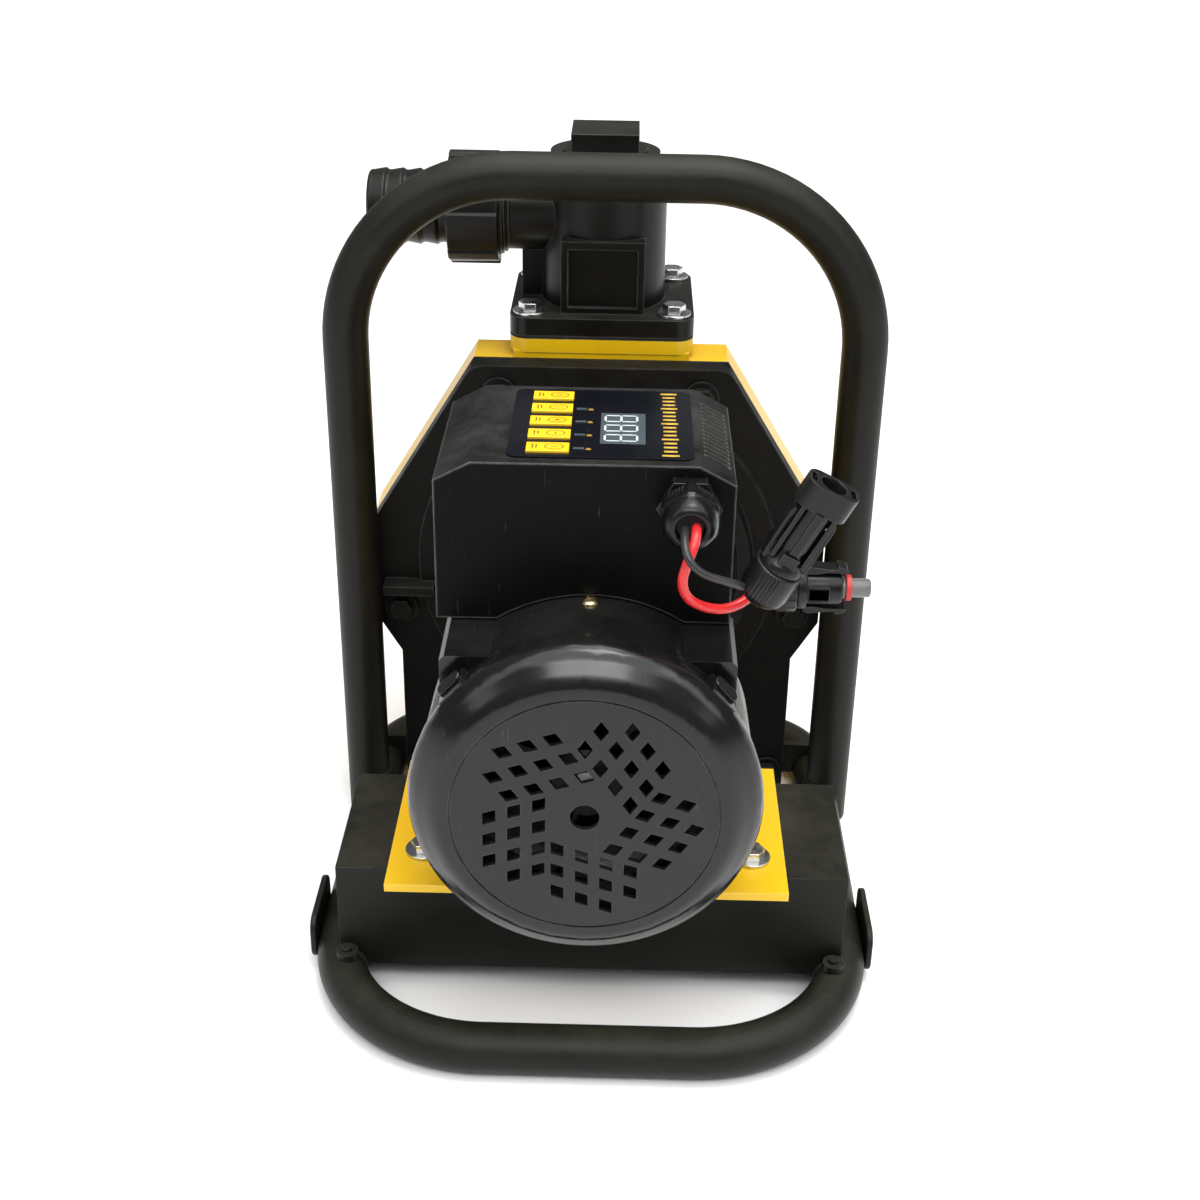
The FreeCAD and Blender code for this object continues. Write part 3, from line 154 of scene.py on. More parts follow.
# %% Floor
def mesh_piece(name, bm, smooth=True):
    mesh = bpy.data.meshes.new(name)
    bm.normal_update()
    bm.to_mesh(mesh)
    bm.free()
    for face in mesh.polygons:
        face.use_smooth = smooth
    piece = bpy.data.objects.new(name, mesh)
    bpy.context.scene.collection.objects.link(piece)
    return piece


FLOOR_SIZE, FLOOR_GAP = 30.0, 0.3 * MM
floor_mesh = bmesh.new()
bmesh.ops.create_grid(floor_mesh, x_segments=1, y_segments=1, size=FLOOR_SIZE / 2)
floor = mesh_piece("studio_floor", floor_mesh, smooth=False)
floor.location.z = -FLOOR_GAP
print("floor:", FLOOR_SIZE, "m square")

# %% Lights and surroundings
def panel_light(name, place, width, height, power):
    data = bpy.data.lights.new(name, "AREA")
    data.shape, data.size, data.size_y, data.energy = "RECTANGLE", width, height, power
    lamp = bpy.data.objects.new(name, data)
    lamp.location = place
    lamp.rotation_euler = (PUMP_MIDDLE - Vector(place)).to_track_quat("-Z", "Y").to_euler()
    bpy.context.scene.collection.objects.link(lamp)


panel_light("top_panel", (0.15, -0.15, 1.5), 0.5, 0.5, 8)
panel_light("rim_panel", (0.0, -1.05, 1.25), 0.9, 0.26, 6)
panel_light("front_left_panel", (-1.3, -0.9, 1.2), 0.5, 1.2, 4)
panel_light("front_right_panel", (1.3, -0.7, 1.0), 0.4, 1.1, 4)
panel_light("back_panel", (0.1, 0.9, 2.0), 1.0, 0.4, 5)
sky_data = bpy.data.lights.new("soft_ceiling", "SUN")
sky_data.energy, sky_data.angle = 3.3, math.radians(80)
soft_ceiling = bpy.data.objects.new("soft_ceiling", sky_data)
soft_ceiling.rotation_euler = (math.radians(12), math.radians(6), 0)
bpy.context.scene.collection.objects.link(soft_ceiling)
world = bpy.data.worlds.new("studio_air")
world.use_nodes = True
air = world.node_tree.nodes["Background"]
air.inputs["Color"].default_value, air.inputs["Strength"].default_value = (1, 1, 1, 1), 0.19
bpy.context.scene.world = world
bpy.context.scene.view_settings.view_transform = "Standard"

# %% [markdown]
# ## Shader groups
# Paint, plastic and metal share the same small accidents: grain, rubbed edges, settled dust and hairline
# scratches. On the black finishes the dust film also carries painted top sheen. Each accident is one node
# group with named inputs, so every material can place it with its own scale and strength. All of them read
# object coordinates, which are metres on the real machine.

# %% Helpers for node groups
def start_group(name, inputs, outputs):
    group = bpy.data.node_groups.new(name, "ShaderNodeTree")
    for label, value in inputs.items():
        socket = group.interface.new_socket(label, in_out="INPUT", socket_type="NodeSocketFloat")
        socket.default_value = value
    for label in outputs:
        group.interface.new_socket(label, in_out="OUTPUT", socket_type="NodeSocketFloat")
    entry = group.nodes.new("NodeGroupInput")
    leave = group.nodes.new("NodeGroupOutput")
    return group, entry, leave


def node(tree, kind, links=None, **values):
    """Adds a node; values are its settings, and links maps an input's name or number to a socket or value."""
    added = tree.nodes.new(kind)
    for name, value in values.items():
        setattr(added, name, value)
    for key, source in (links or {}).items():
        if isinstance(source, bpy.types.NodeSocket):
            tree.links.new(source, added.inputs[key])
        else:
            added.inputs[key].default_value = source
    return added


def math_node(tree, operation, first, second=0.0, clamp=False):
    return node(tree, "ShaderNodeMath", {0: first, 1: second}, operation=operation, use_clamp=clamp).outputs[0]


def noise(tree, place, scale, detail, roughness=0.5):
    links = {"Vector": place, "Scale": scale, "Detail": detail, "Roughness": roughness}
    return node(tree, "ShaderNodeTexNoise", links).outputs["Fac"]


def remap(tree, value, low, high, new_low=0.0, new_high=1.0):
    links = {"Value": value, "From Min": low, "From Max": high, "To Min": new_low, "To Max": new_high}
    return node(tree, "ShaderNodeMapRange", links).outputs["Result"]


def object_place(tree):
    return node(tree, "ShaderNodeTexCoord").outputs["Object"]


print("group helpers ready")

# %% Grain: broad mottling and fine tooth
def make_grain_group():
    group, entry, leave = start_group("grain", {"Mottle size": 0.03, "Tooth size": 0.001}, ["Mottle", "Tooth"])
    place = object_place(group)
    for label, detail in (("Mottle", 5.0), ("Tooth", 2.0)):
        scale = math_node(group, "DIVIDE", 1.0, entry.outputs[label + " size"])
        group.links.new(noise(group, place, scale, detail), leave.inputs[label])
    return group


grain_group = make_grain_group()
print("group:", grain_group.name)

# %% Edge wear: where a rounded normal turns away from the true one
EDGE_GAIN, PATCH_LOW, PATCH_HIGH = 7.0, 0.62, 0.72


def make_wear_group():
    inputs = {"Width": 0.0006, "Patch size": 0.012, "Amount": 0.5}
    group, entry, leave = start_group("edge_wear", inputs, ["Mask"])
    rounded = node(group, "ShaderNodeBevel", {"Radius": entry.outputs["Width"]}, samples=4).outputs["Normal"]
    true_normal = node(group, "ShaderNodeNewGeometry").outputs["Normal"]
    facing = node(group, "ShaderNodeVectorMath", {0: rounded, 1: true_normal}, operation="DOT_PRODUCT")
    edge = math_node(group, "SUBTRACT", 1.0, facing.outputs["Value"], clamp=True)
    edge = math_node(group, "MULTIPLY", edge, EDGE_GAIN, clamp=True)
    patch_scale = math_node(group, "DIVIDE", 1.0, entry.outputs["Patch size"])
    patch = noise(group, object_place(group), patch_scale, 6.0, 0.7)
    unworn = math_node(group, "SUBTRACT", 1.0, entry.outputs["Amount"])
    broken = remap(group, patch, math_node(group, "MULTIPLY", unworn, PATCH_LOW), PATCH_HIGH)
    group.links.new(math_node(group, "MULTIPLY", edge, broken, clamp=True), leave.inputs["Mask"])
    return group


wear_group = make_wear_group()
print("group:", wear_group.name)

# %% Dust and painted top sheen: a thin uneven film on faces that look up
# The film is dust. On the black case and tubes its lighter colour is also painted top sheen, standing in for
# light from above.
def make_dust_and_top_sheen_group():
    group, entry, leave = start_group("dust_and_top_sheen", {"Patch size": 0.05, "Amount": 0.3}, ["Mask"])
    normal = node(group, "ShaderNodeNewGeometry").outputs["Normal"]
    upward = remap(group, node(group, "ShaderNodeSeparateXYZ", {0: normal}).outputs["Z"], 0.25, 1.0)
    patch_scale = math_node(group, "DIVIDE", 1.0, entry.outputs["Patch size"])
    patch = remap(group, noise(group, object_place(group), patch_scale, 8.0, 0.75), 0.35, 0.75)
    film = math_node(group, "MULTIPLY", math_node(group, "MULTIPLY", upward, patch), entry.outputs["Amount"])
    group.links.new(film, leave.inputs["Mask"])
    return group


dust_and_top_sheen_group = make_dust_and_top_sheen_group()
print("group:", dust_and_top_sheen_group.name)

# %% Scratches: thin straight lines of a stretched slow noise, kept only in small patches
SCRATCH_TURNS, STRETCH = ((0.3, 0.9, 0.2), (1.3, 0.2, 2.1)), (1.0, 0.05, 0.05)
SCRATCH_PATCHES = 130.0


def make_scratch_group():
    inputs = {"Spacing": 0.012, "Width": 0.006, "Amount": 0.5}
    group, entry, leave = start_group("scratches", inputs, ["Mask"])
    place = object_place(group)
    scale = math_node(group, "DIVIDE", 1.0, entry.outputs["Spacing"])
    kept = remap(group, noise(group, place, SCRATCH_PATCHES, 3.0), 0.58, 0.70)
    lines = []
    for turn in SCRATCH_TURNS:
        turned = node(group, "ShaderNodeMapping", {"Vector": place, "Rotation": turn, "Scale": STRETCH})
        slow = noise(group, turned.outputs["Vector"], scale, 1.0)
        off = math_node(group, "ABSOLUTE", math_node(group, "SUBTRACT", slow, 0.5))
        line = math_node(group, "LESS_THAN", off, entry.outputs["Width"])
        lines.append(math_node(group, "MULTIPLY", line, kept))
    both = math_node(group, "MAXIMUM", *lines)
    group.links.new(math_node(group, "MULTIPLY", both, entry.outputs["Amount"]), leave.inputs["Mask"])
    return group


scratch_group = make_scratch_group()
print("group:", scratch_group.name)

# %% [markdown]
# ## Finishes
# One recipe serves every finish: a base colour that a slow mottle shifts a little, a fine tooth as bump,
# then scratches, wear and a film of dust with painted top sheen laid over it in that order. Each finish passes
# only what makes it different.

# %% The recipe
finishes = {}
MOTTLE_SPREAD, FILM_DULLS = (0.3, 0.7), 0.35


def mix_colour(tree, amount, first, second):
    links = {"Factor": amount, "A": first, "B": second}
    return node(tree, "ShaderNodeMix", links, data_type="RGBA").outputs["Result"]


def finish_of(name, base, shade, rough, metallic=0.0, shine=0.5, mottle=0.03, tooth=0.0008,
              depth=0.00003, wear=None, dust_and_top_sheen=None, scratch=None, patina=None):
    """wear is (edge width, amount, colour, roughness); dust_and_top_sheen and scratch are (amount, colour).
    The film on upward faces is dust, and on the black finishes it is also painted top sheen.
    """
    material = finishes[name] = bpy.data.materials.new(name)
    material.use_nodes = True
    tree = material.node_tree
    surface = tree.nodes["Principled BSDF"]
    surface.inputs["Metallic"].default_value = metallic
    surface.inputs["Specular IOR Level"].default_value = shine
    grain = node(tree, "ShaderNodeGroup", {"Mottle size": mottle, "Tooth size": tooth}, node_tree=grain_group)
    mottled = grain.outputs["Mottle"]
    colour = mix_colour(tree, remap(tree, mottled, *MOTTLE_SPREAD), (*base, 1), (*shade, 1))
    roughness = remap(tree, mottled, *MOTTLE_SPREAD, *rough)
    if patina:
        colour, roughness = patina(tree, colour, roughness)
    if scratch:
        lines = node(tree, "ShaderNodeGroup", {"Amount": scratch[0]}, node_tree=scratch_group)
        colour = mix_colour(tree, lines.outputs["Mask"], colour, (*scratch[1], 1))
    if wear:
        width, amount, worn_colour, worn_rough = wear
        edges = node(tree, "ShaderNodeGroup", {"Width": width, "Amount": amount}, node_tree=wear_group)
        mask = edges.outputs["Mask"]
        colour = mix_colour(tree, mask, colour, (*worn_colour, 1))
        change = math_node(tree, "MULTIPLY", mask, math_node(tree, "SUBTRACT", worn_rough, roughness))
        roughness = math_node(tree, "ADD", roughness, change)
    # A film on upward faces: dust, and on the black finishes also painted top sheen standing in for light from
    # above.
    if dust_and_top_sheen:
        film = node(tree, "ShaderNodeGroup", {"Amount": dust_and_top_sheen[0]}, node_tree=dust_and_top_sheen_group).outputs["Mask"]
        colour = mix_colour(tree, film, colour, (*dust_and_top_sheen[1], 1))
        dulled = math_node(tree, "MULTIPLY", film, FILM_DULLS)
        roughness = math_node(tree, "ADD", roughness, dulled, clamp=True)
    tree.links.new(colour, surface.inputs["Base Color"])
    tree.links.new(roughness, surface.inputs["Roughness"])
    bump = node(tree, "ShaderNodeBump", {"Height": grain.outputs["Tooth"], "Strength": 1.0, "Distance": depth})
    tree.links.new(bump.outputs["Normal"], surface.inputs["Normal"])


print("recipe ready; mottle between", MOTTLE_SPREAD)

# %% [markdown]
# ## Black finishes
# Almost the whole pump is black, yet no two blacks are alike: the tubes are powder coated, the case and the
# outlet are moulded, the fan cover is polished and the adapter is raw casting under thin paint. The
# differences are in roughness, tooth, in how light the rubbed edges are, and in the lighter film on faces
# that look up, which on the case and the tubes is painted top sheen.

# %% Black finishes
GREY_RUB = (0.22, 0.22, 0.20)
# The olive film on the tubes' upward faces is partly dust and partly painted top light.
finish_of("powder_coat", (0.005, 0.005, 0.0038), (0.009, 0.009, 0.0065), (0.40, 0.50), shine=0.2,
          tooth=0.0011, depth=0.00004, wear=(0.0007, 0.35, (0.09, 0.09, 0.08), 0.35),
          dust_and_top_sheen=(0.55, (0.050, 0.050, 0.036)))
# The strong lighter film on the case's upward faces is painted top sheen, with a little dust.
finish_of("moulded_case", (0.0022, 0.0024, 0.0024), (0.0035, 0.0038, 0.0038), (0.38, 0.48), shine=0.07,
          tooth=0.0005, depth=0.00003, wear=(0.0013, 0.9, GREY_RUB, 0.5), dust_and_top_sheen=(0.95, (0.045, 0.045, 0.043)),
          scratch=(0.22, (0.10, 0.10, 0.095)))
finish_of("moulded_outlet", (0.0035, 0.0035, 0.003), (0.006, 0.0058, 0.005), (0.30, 0.42), shine=0.2,
          tooth=0.0007, depth=0.00002, wear=(0.0009, 0.6, (0.12, 0.12, 0.11), 0.4),
          dust_and_top_sheen=(0.5, (0.045, 0.045, 0.038)))
finish_of("nylon", (0.003, 0.0032, 0.0032), (0.006, 0.006, 0.006), (0.24, 0.36), shine=0.3, tooth=0.0004,
          depth=0.00001, wear=(0.0005, 0.6, (0.14, 0.14, 0.14), 0.4))
finish_of("rubber", (0.008, 0.008, 0.008), (0.014, 0.014, 0.013), (0.6, 0.75), shine=0.3, tooth=0.0006)
finish_of("casting", (0.002, 0.002, 0.0018), (0.005, 0.005, 0.0045), (0.50, 0.70), shine=0.14, mottle=0.012,
          tooth=0.0022, depth=0.00045, wear=(0.0011, 0.6, (0.07, 0.07, 0.065), 0.55),
          dust_and_top_sheen=(0.18, (0.07, 0.07, 0.06)))
print("black finishes:", len(finishes))

# %% [markdown]
# The fan cover is one moulding with two surfaces: the rim is polished and the grille face inside the groove
# is satin. The finish finds out where it is from the distance to the motor's axis.

# %% The fan cover's two surfaces
motor_low, motor_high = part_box("rotor_core")
motor_x, motor_z = (motor_low.x + motor_high.x) / 2, (motor_low.z + motor_high.z) / 2
cover_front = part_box("fan_cover")[0].y
FACE_RADIUS, FACE_DEPTH, FACE_DULLS = 58.2 * MM, 1.2 * MM, 0.28
FACE_BLACK = (0.008, 0.008, 0.0078, 1)


def satin_face(tree, colour, roughness):
    parts = node(tree, "ShaderNodeSeparateXYZ", {0: object_place(tree)})
    across = math_node(tree, "SUBTRACT", parts.outputs["X"], motor_x)
    height = math_node(tree, "SUBTRACT", parts.outputs["Z"], motor_z)
    squares = [math_node(tree, "POWER", reach, 2.0) for reach in (across, height)]
    radius = math_node(tree, "SQRT", math_node(tree, "ADD", *squares))
    near_axis = math_node(tree, "LESS_THAN", radius, FACE_RADIUS)
    at_front = math_node(tree, "LESS_THAN", parts.outputs["Y"], cover_front + FACE_DEPTH)
    face = math_node(tree, "MULTIPLY", near_axis, at_front)
    duller = math_node(tree, "ADD", roughness, math_node(tree, "MULTIPLY", face, FACE_DULLS))
    return mix_colour(tree, face, colour, FACE_BLACK), duller


finish_of("polished_cover", (0.004, 0.004, 0.004), (0.006, 0.006, 0.0058), (0.15, 0.22), shine=0.38,
          tooth=0.0012, depth=0.000008, wear=(0.0006, 0.3, (0.10, 0.10, 0.10), 0.4),
          dust_and_top_sheen=(0.12, (0.08, 0.08, 0.075)), scratch=(0.25, (0.07, 0.07, 0.07)), patina=satin_face)
print("cover finish knows its axis at", round(motor_x, 4), round(motor_z, 4))

# %% [markdown]
# ## Yellow paint
# The casing, the motor and the base plate are sprayed a deep warm yellow over cast or sheet metal. Paint is
# thin on sharp edges, so there it turns paler. The motor's barrel was turned after painting next to the
# cover, so its last millimetres are bare aluminium, with an uneven border.

# %% Yellow paint and bare metal
YELLOW, DEEP_YELLOW, THIN_YELLOW = (0.83, 0.52, 0.003), (0.76, 0.45, 0.002), (0.90, 0.70, 0.16)
BARE_FROM, BORDER_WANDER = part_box("motor_housing")[0].y + 9 * MM, 4 * MM
BARE_METAL, BARE_DULLS = (0.36, 0.36, 0.35, 1), 0.15


def bare_front(tree, colour, roughness):
    place = object_place(tree)
    along = node(tree, "ShaderNodeSeparateXYZ", {0: place}).outputs["Y"]
    border = math_node(tree, "MULTIPLY", noise(tree, place, 600.0, 3.0), BORDER_WANDER)
    bare = math_node(tree, "LESS_THAN", math_node(tree, "ADD", along, border), BARE_FROM)
    duller = math_node(tree, "ADD", roughness, math_node(tree, "MULTIPLY", bare, BARE_DULLS))
    return mix_colour(tree, bare, colour, BARE_METAL), duller


finish_of("yellow_paint", YELLOW, DEEP_YELLOW, (0.30, 0.40), mottle=0.05, tooth=0.0016, depth=0.00004,
          wear=(0.0008, 0.45, THIN_YELLOW, 0.4), dust_and_top_sheen=(0.08, (0.55, 0.42, 0.2)))
finish_of("motor_paint", YELLOW, DEEP_YELLOW, (0.30, 0.40), mottle=0.05, tooth=0.0016, depth=0.00006,
          wear=(0.0006, 0.5, THIN_YELLOW, 0.45), patina=bare_front)
finish_of("aluminium", (0.50, 0.50, 0.49), (0.58, 0.58, 0.57), (0.35, 0.5), metallic=1.0, tooth=0.001,
          depth=0.00004)
finish_of("zinc", (0.58, 0.60, 0.60), (0.68, 0.68, 0.66), (0.20, 0.34), metallic=1.0, mottle=0.006,
          tooth=0.0006, depth=0.00001)
finish_of("gold_zinc", (0.66, 0.50, 0.24), (0.74, 0.62, 0.38), (0.22, 0.34), metallic=1.0, mottle=0.004,
          tooth=0.0005, depth=0.00001)
finish_of("steel", (0.42, 0.42, 0.41), (0.5, 0.5, 0.49), (0.25, 0.4), metallic=1.0)
finish_of("copper", (0.62, 0.28, 0.14), (0.72, 0.36, 0.2), (0.3, 0.45), metallic=1.0, depth=0.0001)
print("metal and paint finishes:", len(finishes))

# %% [markdown]
# ## Small parts
# Wires, the keypad film and the parts inside the controller are small, and their colours are strong. Their
# finishes are plain in colour but keep a fine tooth, so that they take light as plastic does.

# %% Small-part finishes
PRINT = {"mottle": 0.004, "depth": 0.000004}
WIRE = {"mottle": 0.01, "tooth": 0.0005, "depth": 0.00001}
finish_of("red_insulation", (0.62, 0.012, 0.014), (0.72, 0.03, 0.03), (0.25, 0.35), **WIRE)
finish_of("black_insulation", (0.016, 0.016, 0.016), (0.025, 0.025, 0.024), (0.3, 0.42), **WIRE)
finish_of("red_rubber", (0.45, 0.02, 0.015), (0.55, 0.04, 0.03), (0.45, 0.6), tooth=0.0004, depth=0.00001)
finish_of("panel_film", (0.0035, 0.0040, 0.0062), (0.0045, 0.0052, 0.008), (0.16, 0.22), shine=0.3,
          mottle=0.02, tooth=0.002, depth=0.000004, scratch=(0.12, (0.08, 0.08, 0.09)))
finish_of("key_film", (0.84, 0.50, 0.010), (0.88, 0.56, 0.02), (0.25, 0.34), mottle=0.01, tooth=0.001,
          depth=0.000005)
finish_of("window_film", (0.055, 0.075, 0.085), (0.065, 0.085, 0.095), (0.2, 0.28), mottle=0.01,
          depth=0.000004)
finish_of("segment_print", (0.62, 0.66, 0.68), (0.70, 0.73, 0.74), (0.35, 0.45), **PRINT)
finish_of("lens", (0.045, 0.06, 0.075), (0.06, 0.075, 0.09), (0.2, 0.3), **PRINT)
finish_of("gold_print", (0.62, 0.36, 0.03), (0.72, 0.45, 0.06), (0.35, 0.45), **PRINT)
finish_of("icon_print", (0.16, 0.075, 0.004), (0.20, 0.10, 0.008), (0.4, 0.5), **PRINT)
finish_of("board_varnish", (0.01, 0.12, 0.05), (0.02, 0.16, 0.07), (0.3, 0.4), mottle=0.01)
finish_of("ceramic", (0.55, 0.53, 0.48), (0.62, 0.6, 0.55), (0.35, 0.45))
finish_of("contact_grey", (0.10, 0.10, 0.10), (0.14, 0.14, 0.14), (0.28, 0.36), mottle=0.005, tooth=0.0004,
          depth=0.00001)
finish_of("studio_paper", (0.90, 0.90, 0.90), (0.92, 0.92, 0.92), (0.75, 0.85), mottle=0.5, tooth=0.003,
          depth=0.00001)
floor.data.materials.append(finishes["studio_paper"])
print("finishes in all:", len(finishes))

# %% [markdown]
# ## Dressing the CAD parts
# A CAD part has perfectly sharp edges, which no real part has, and they make it look computed. Four
# modifiers soften each part without touching its mesh: Weld joins the split corners, a planar Decimate
# turns triangles back into whole faces, Bevel rolls every edge by the radius that its process leaves, wide
# on a casting and tiny on a machined part, and Weighted Normal keeps large faces flat in the light. A face
# pierced by many holes keeps its triangles, because Blender can't fill one face with sixty holes.

# %% Which finish and which edge radius each part gets
DRESS = [
    ("powder_coat", 0.9, ["base_ring", "carry_hoop", "side_plate_left", "side_plate_right", "frame_weld_studs",
                          "foot_strap"]),
    ("powder_coat", 1.8, ["bridge_channel"]),
    ("moulded_case", 0.9, ["controller_case", "controller_base"]),
    ("moulded_outlet", 1.0, ["outlet_body", "union_nut", "hose_barb", "priming_plug"]),
    ("nylon", 0.4, ["gland_body", "gland_nut", "cooling_fan", "impeller", "plug_nut", "plug_body",
                    "socket_nut", "socket_body", "diffuser", "check_flap"]),
    ("casting", 1.2, ["pump_adapter"]),
    ("casting", 0.45, ["casing_bolts", "foot_bolts"]),
    ("polished_cover", 0.5, ["fan_cover"]),
    ("yellow_paint", 1.6, ["pump_casing"]),
    ("yellow_paint", 0.5, ["motor_base_plate"]),
    ("motor_paint", 0.4, ["motor_housing"]),
    ("rubber", 0.2, ["casing_gasket", "outlet_gasket", "union_seal", "gland_seal"]),
    ("red_rubber", 0.3, ["plug_oring"]),
    ("zinc", 0.45, ["base_bolts", "flange_bolts"]),
    ("gold_zinc", 0.3, ["cover_screws"]),
    ("aluminium", 0.5, ["end_shield", "rotor_core", "drain_plug", "suction_fitting"]),
    ("steel", 0.3, ["stator_core", "rotor_shaft", "bearing_front", "bearing_rear"]),
    ("copper", 1.0, ["stator_windings"]),
    ("panel_film", 0.15, ["label_panel"]),
    ("key_film", 0.25, ["button_1", "button_2", "button_3", "button_4", "button_5"]),
    ("window_film", 0.1, ["led_display"]),
    ("lens", 0.1, ["status_leds"]),
    ("board_varnish", 0.1, ["circuit_board"]),
    ("ceramic", 0.2, ["seal_seat", "seal_head"]),
]
PIERCED = ["fan_cover", "label_panel", "controller_case"]
print("rows of parts:", len(DRESS))

# %% The four modifiers
WELD_GAP, FLAT_WITHIN, EDGE_FROM = 0.02 * MM, math.radians(0.5), math.radians(32)


def dress(name, finish, radius_mm):
    part = nodes[name]
    part.data.materials.clear()
    part.data.materials.append(finishes[finish])
    for face in part.data.polygons:
        face.use_smooth = True
    part.modifiers.new("joined_corners", "WELD").merge_threshold = WELD_GAP
    if name not in PIERCED:
        flat = part.modifiers.new("whole_faces", "DECIMATE")
        flat.decimate_type, flat.angle_limit = "DISSOLVE", FLAT_WITHIN
    edge = part.modifiers.new("soft_edges", "BEVEL")
    edge.width, edge.segments = radius_mm * MM, 3
    edge.limit_method, edge.angle_limit = "ANGLE", EDGE_FROM
    edge.harden_normals, edge.miter_outer = True, "MITER_ARC"
    part.modifiers.new("flat_faces_stay_flat", "WEIGHTED_NORMAL").keep_sharp = True


for finish, radius_mm, names in DRESS:
    for name in names:
        dress(name, finish, radius_mm)
red_lead.data.materials.append(finishes["red_insulation"])
black_lead.data.materials.append(finishes["black_insulation"])
print("dressed parts:", sum(1 for part in nodes.values() if part.modifiers))

# %% [markdown]
# ## Tools for small pieces
# Three ways of making a shape cover every small piece here. A sweep carries a section along a path, which
# is how a weld bead, a printed mark or a thread ridge is made. A polar form is a stack of rings whose
# radius depends on the angle, so one function gives hex nuts, ribs and domes. A slab is a flat outline
# given a thickness. Carving, with Boolean modifiers that are applied at once, makes the pockets.

# %% Sweep, polar form and slab
def sweep(bm, path, section, up, closed=False):
    """Carries section(i), a list of (side, lift) offsets, along a path; up is a vector or a function of i."""
    rings, count = [], len(path)
    for i, place in enumerate(path):
        before = path[(i - 1) % count] if closed or i else path[i]
        after = path[(i + 1) % count] if closed or i < count - 1 else path[i]
        along = (after - before).normalized()
        side = along.cross(up(i) if callable(up) else up).normalized()
        lift = side.cross(along)
        rings.append([bm.verts.new(place + side * a + lift * b) for a, b in section(i)])
    size = len(rings[0])
    for i in range(count if closed else count - 1):
        first, second = rings[i], rings[(i + 1) % count]
        for k in range(size):
            bm.faces.new((first[k], first[(k + 1) % size], second[(k + 1) % size], second[k]))
    if not closed:
        bm.faces.new(rings[0][::-1])
        bm.faces.new(rings[-1])


CORNERS = ((-1, -1), (1, -1), (1, 1), (-1, 1))


def full_turn(count):
    return [math.tau * k / count for k in range(count)]


def strip(bm, points, width, height, closed=False):
    """A thin printed line with a square section, lying in a level plane."""
    half = width / 2
    section = [(-half, 0), (half, 0), (half, height), (-half, height)]
    sweep(bm, [Vector(p) for p in points], lambda i: section, Vector((0, 0, 1)), closed)


def frame_at(at, axis, side):
    """A matrix whose Z runs along the axis and whose X points to the side."""
    z = Vector(axis).normalized()
    x = (Vector(side) - z * z.dot(Vector(side))).normalized()
    return Matrix.Translation(at) @ Matrix((x, z.cross(x), z)).transposed().to_4x4()


def polar_form(bm, heights, radius_at, frame, around=96):
    """Rings at the given heights; radius_at(angle, row) gives each ring's radius; both ends are closed."""
    rings, turns = [], full_turn(around)
    for row, z in enumerate(heights):
        radii = [radius_at(t, row) for t in turns]
        rings.append([bm.verts.new(frame @ Vector((r * math.cos(t), r * math.sin(t), z)))
                      for t, r in zip(turns, radii)])
    for lower, upper in zip(rings, rings[1:]):
        for k in range(around):
            bm.faces.new((lower[k], lower[(k + 1) % around], upper[(k + 1) % around], upper[k]))
    bm.faces.new(rings[0][::-1])
    bm.faces.new(rings[-1])


def lathe(bm, profile_mm, frame, around=64):
    """A polar form whose rings are round: profile_mm lists (radius, height) in millimetres."""
    polar_form(bm, [z * MM for r, z in profile_mm], lambda t, row: profile_mm[row][0] * MM, frame, around)


def slab(bm, outline, low, high, frame):
    """A flat outline in the frame's XY plane, given a thickness from low to high along its Z."""
    bottom = [bm.verts.new(frame @ Vector((x, y, low))) for x, y in outline]
    top = [bm.verts.new(frame @ Vector((x, y, high))) for x, y in outline]
    count = len(outline)
    for k in range(count):
        bm.faces.new((bottom[k], bottom[(k + 1) % count], top[(k + 1) % count], top[k]))
    bm.faces.new(bottom[::-1])
    bm.faces.new(top)


print("shape tools ready")

# %% Finished pieces and carving
JOIN_GAP = 0.000005


def add_piece(name, bm, finish, body, edge_mm=0.0, replaces=()):
    """Turns a bmesh into a finished piece on its body, with rolled edges if edge_mm is given."""
    bmesh.ops.recalc_face_normals(bm, faces=bm.faces)
    piece = mesh_piece(name, bm)
    piece.data.materials.append(finishes[finish])
    if edge_mm:
        edge = piece.modifiers.new("soft_edges", "BEVEL")
        edge.width, edge.segments = edge_mm * MM, 2
        edge.limit_method, edge.angle_limit, edge.harden_normals = "ANGLE", math.radians(35), True
    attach(piece, body)
    if replaces:
        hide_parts(*replaces)
    return piece


def carve(bm, cutters):
    """Cuts each cutter's solid out of the bmesh and returns the result as a new bmesh."""
    objects = []
    for source in [bm] + cutters:
        bmesh.ops.recalc_face_normals(source, faces=source.faces)
        objects.append(mesh_piece("carving", source))
    base = objects[0]
    for cutter in objects[1:]:
        cut = base.modifiers.new("cut", "BOOLEAN")
        cut.object, cut.operation, cut.solver = cutter, "DIFFERENCE", "EXACT"
    bpy.context.view_layer.update()
    shape = base.evaluated_get(bpy.context.evaluated_depsgraph_get()).to_mesh()
    carved = bmesh.new()
    carved.from_mesh(shape)
    for item in objects:
        bpy.data.objects.remove(item)
    bmesh.ops.remove_doubles(carved, verts=carved.verts, dist=JOIN_GAP)
    bmesh.ops.dissolve_limit(carved, angle_limit=FLAT_WITHIN, verts=carved.verts, edges=carved.edges)
    return carved


print("carving joins corners within", JOIN_GAP / MM, "mm")

# %% [markdown]
# ## Keypad
# The keypad is one glossy film. Five yellow keys carry a printed symbol in an oval and two short bars, and
# each key's print rides on that key, so that it goes down with it. The symbols are the plain ones that any
# device uses: bar, minus, plus, dots and a square.

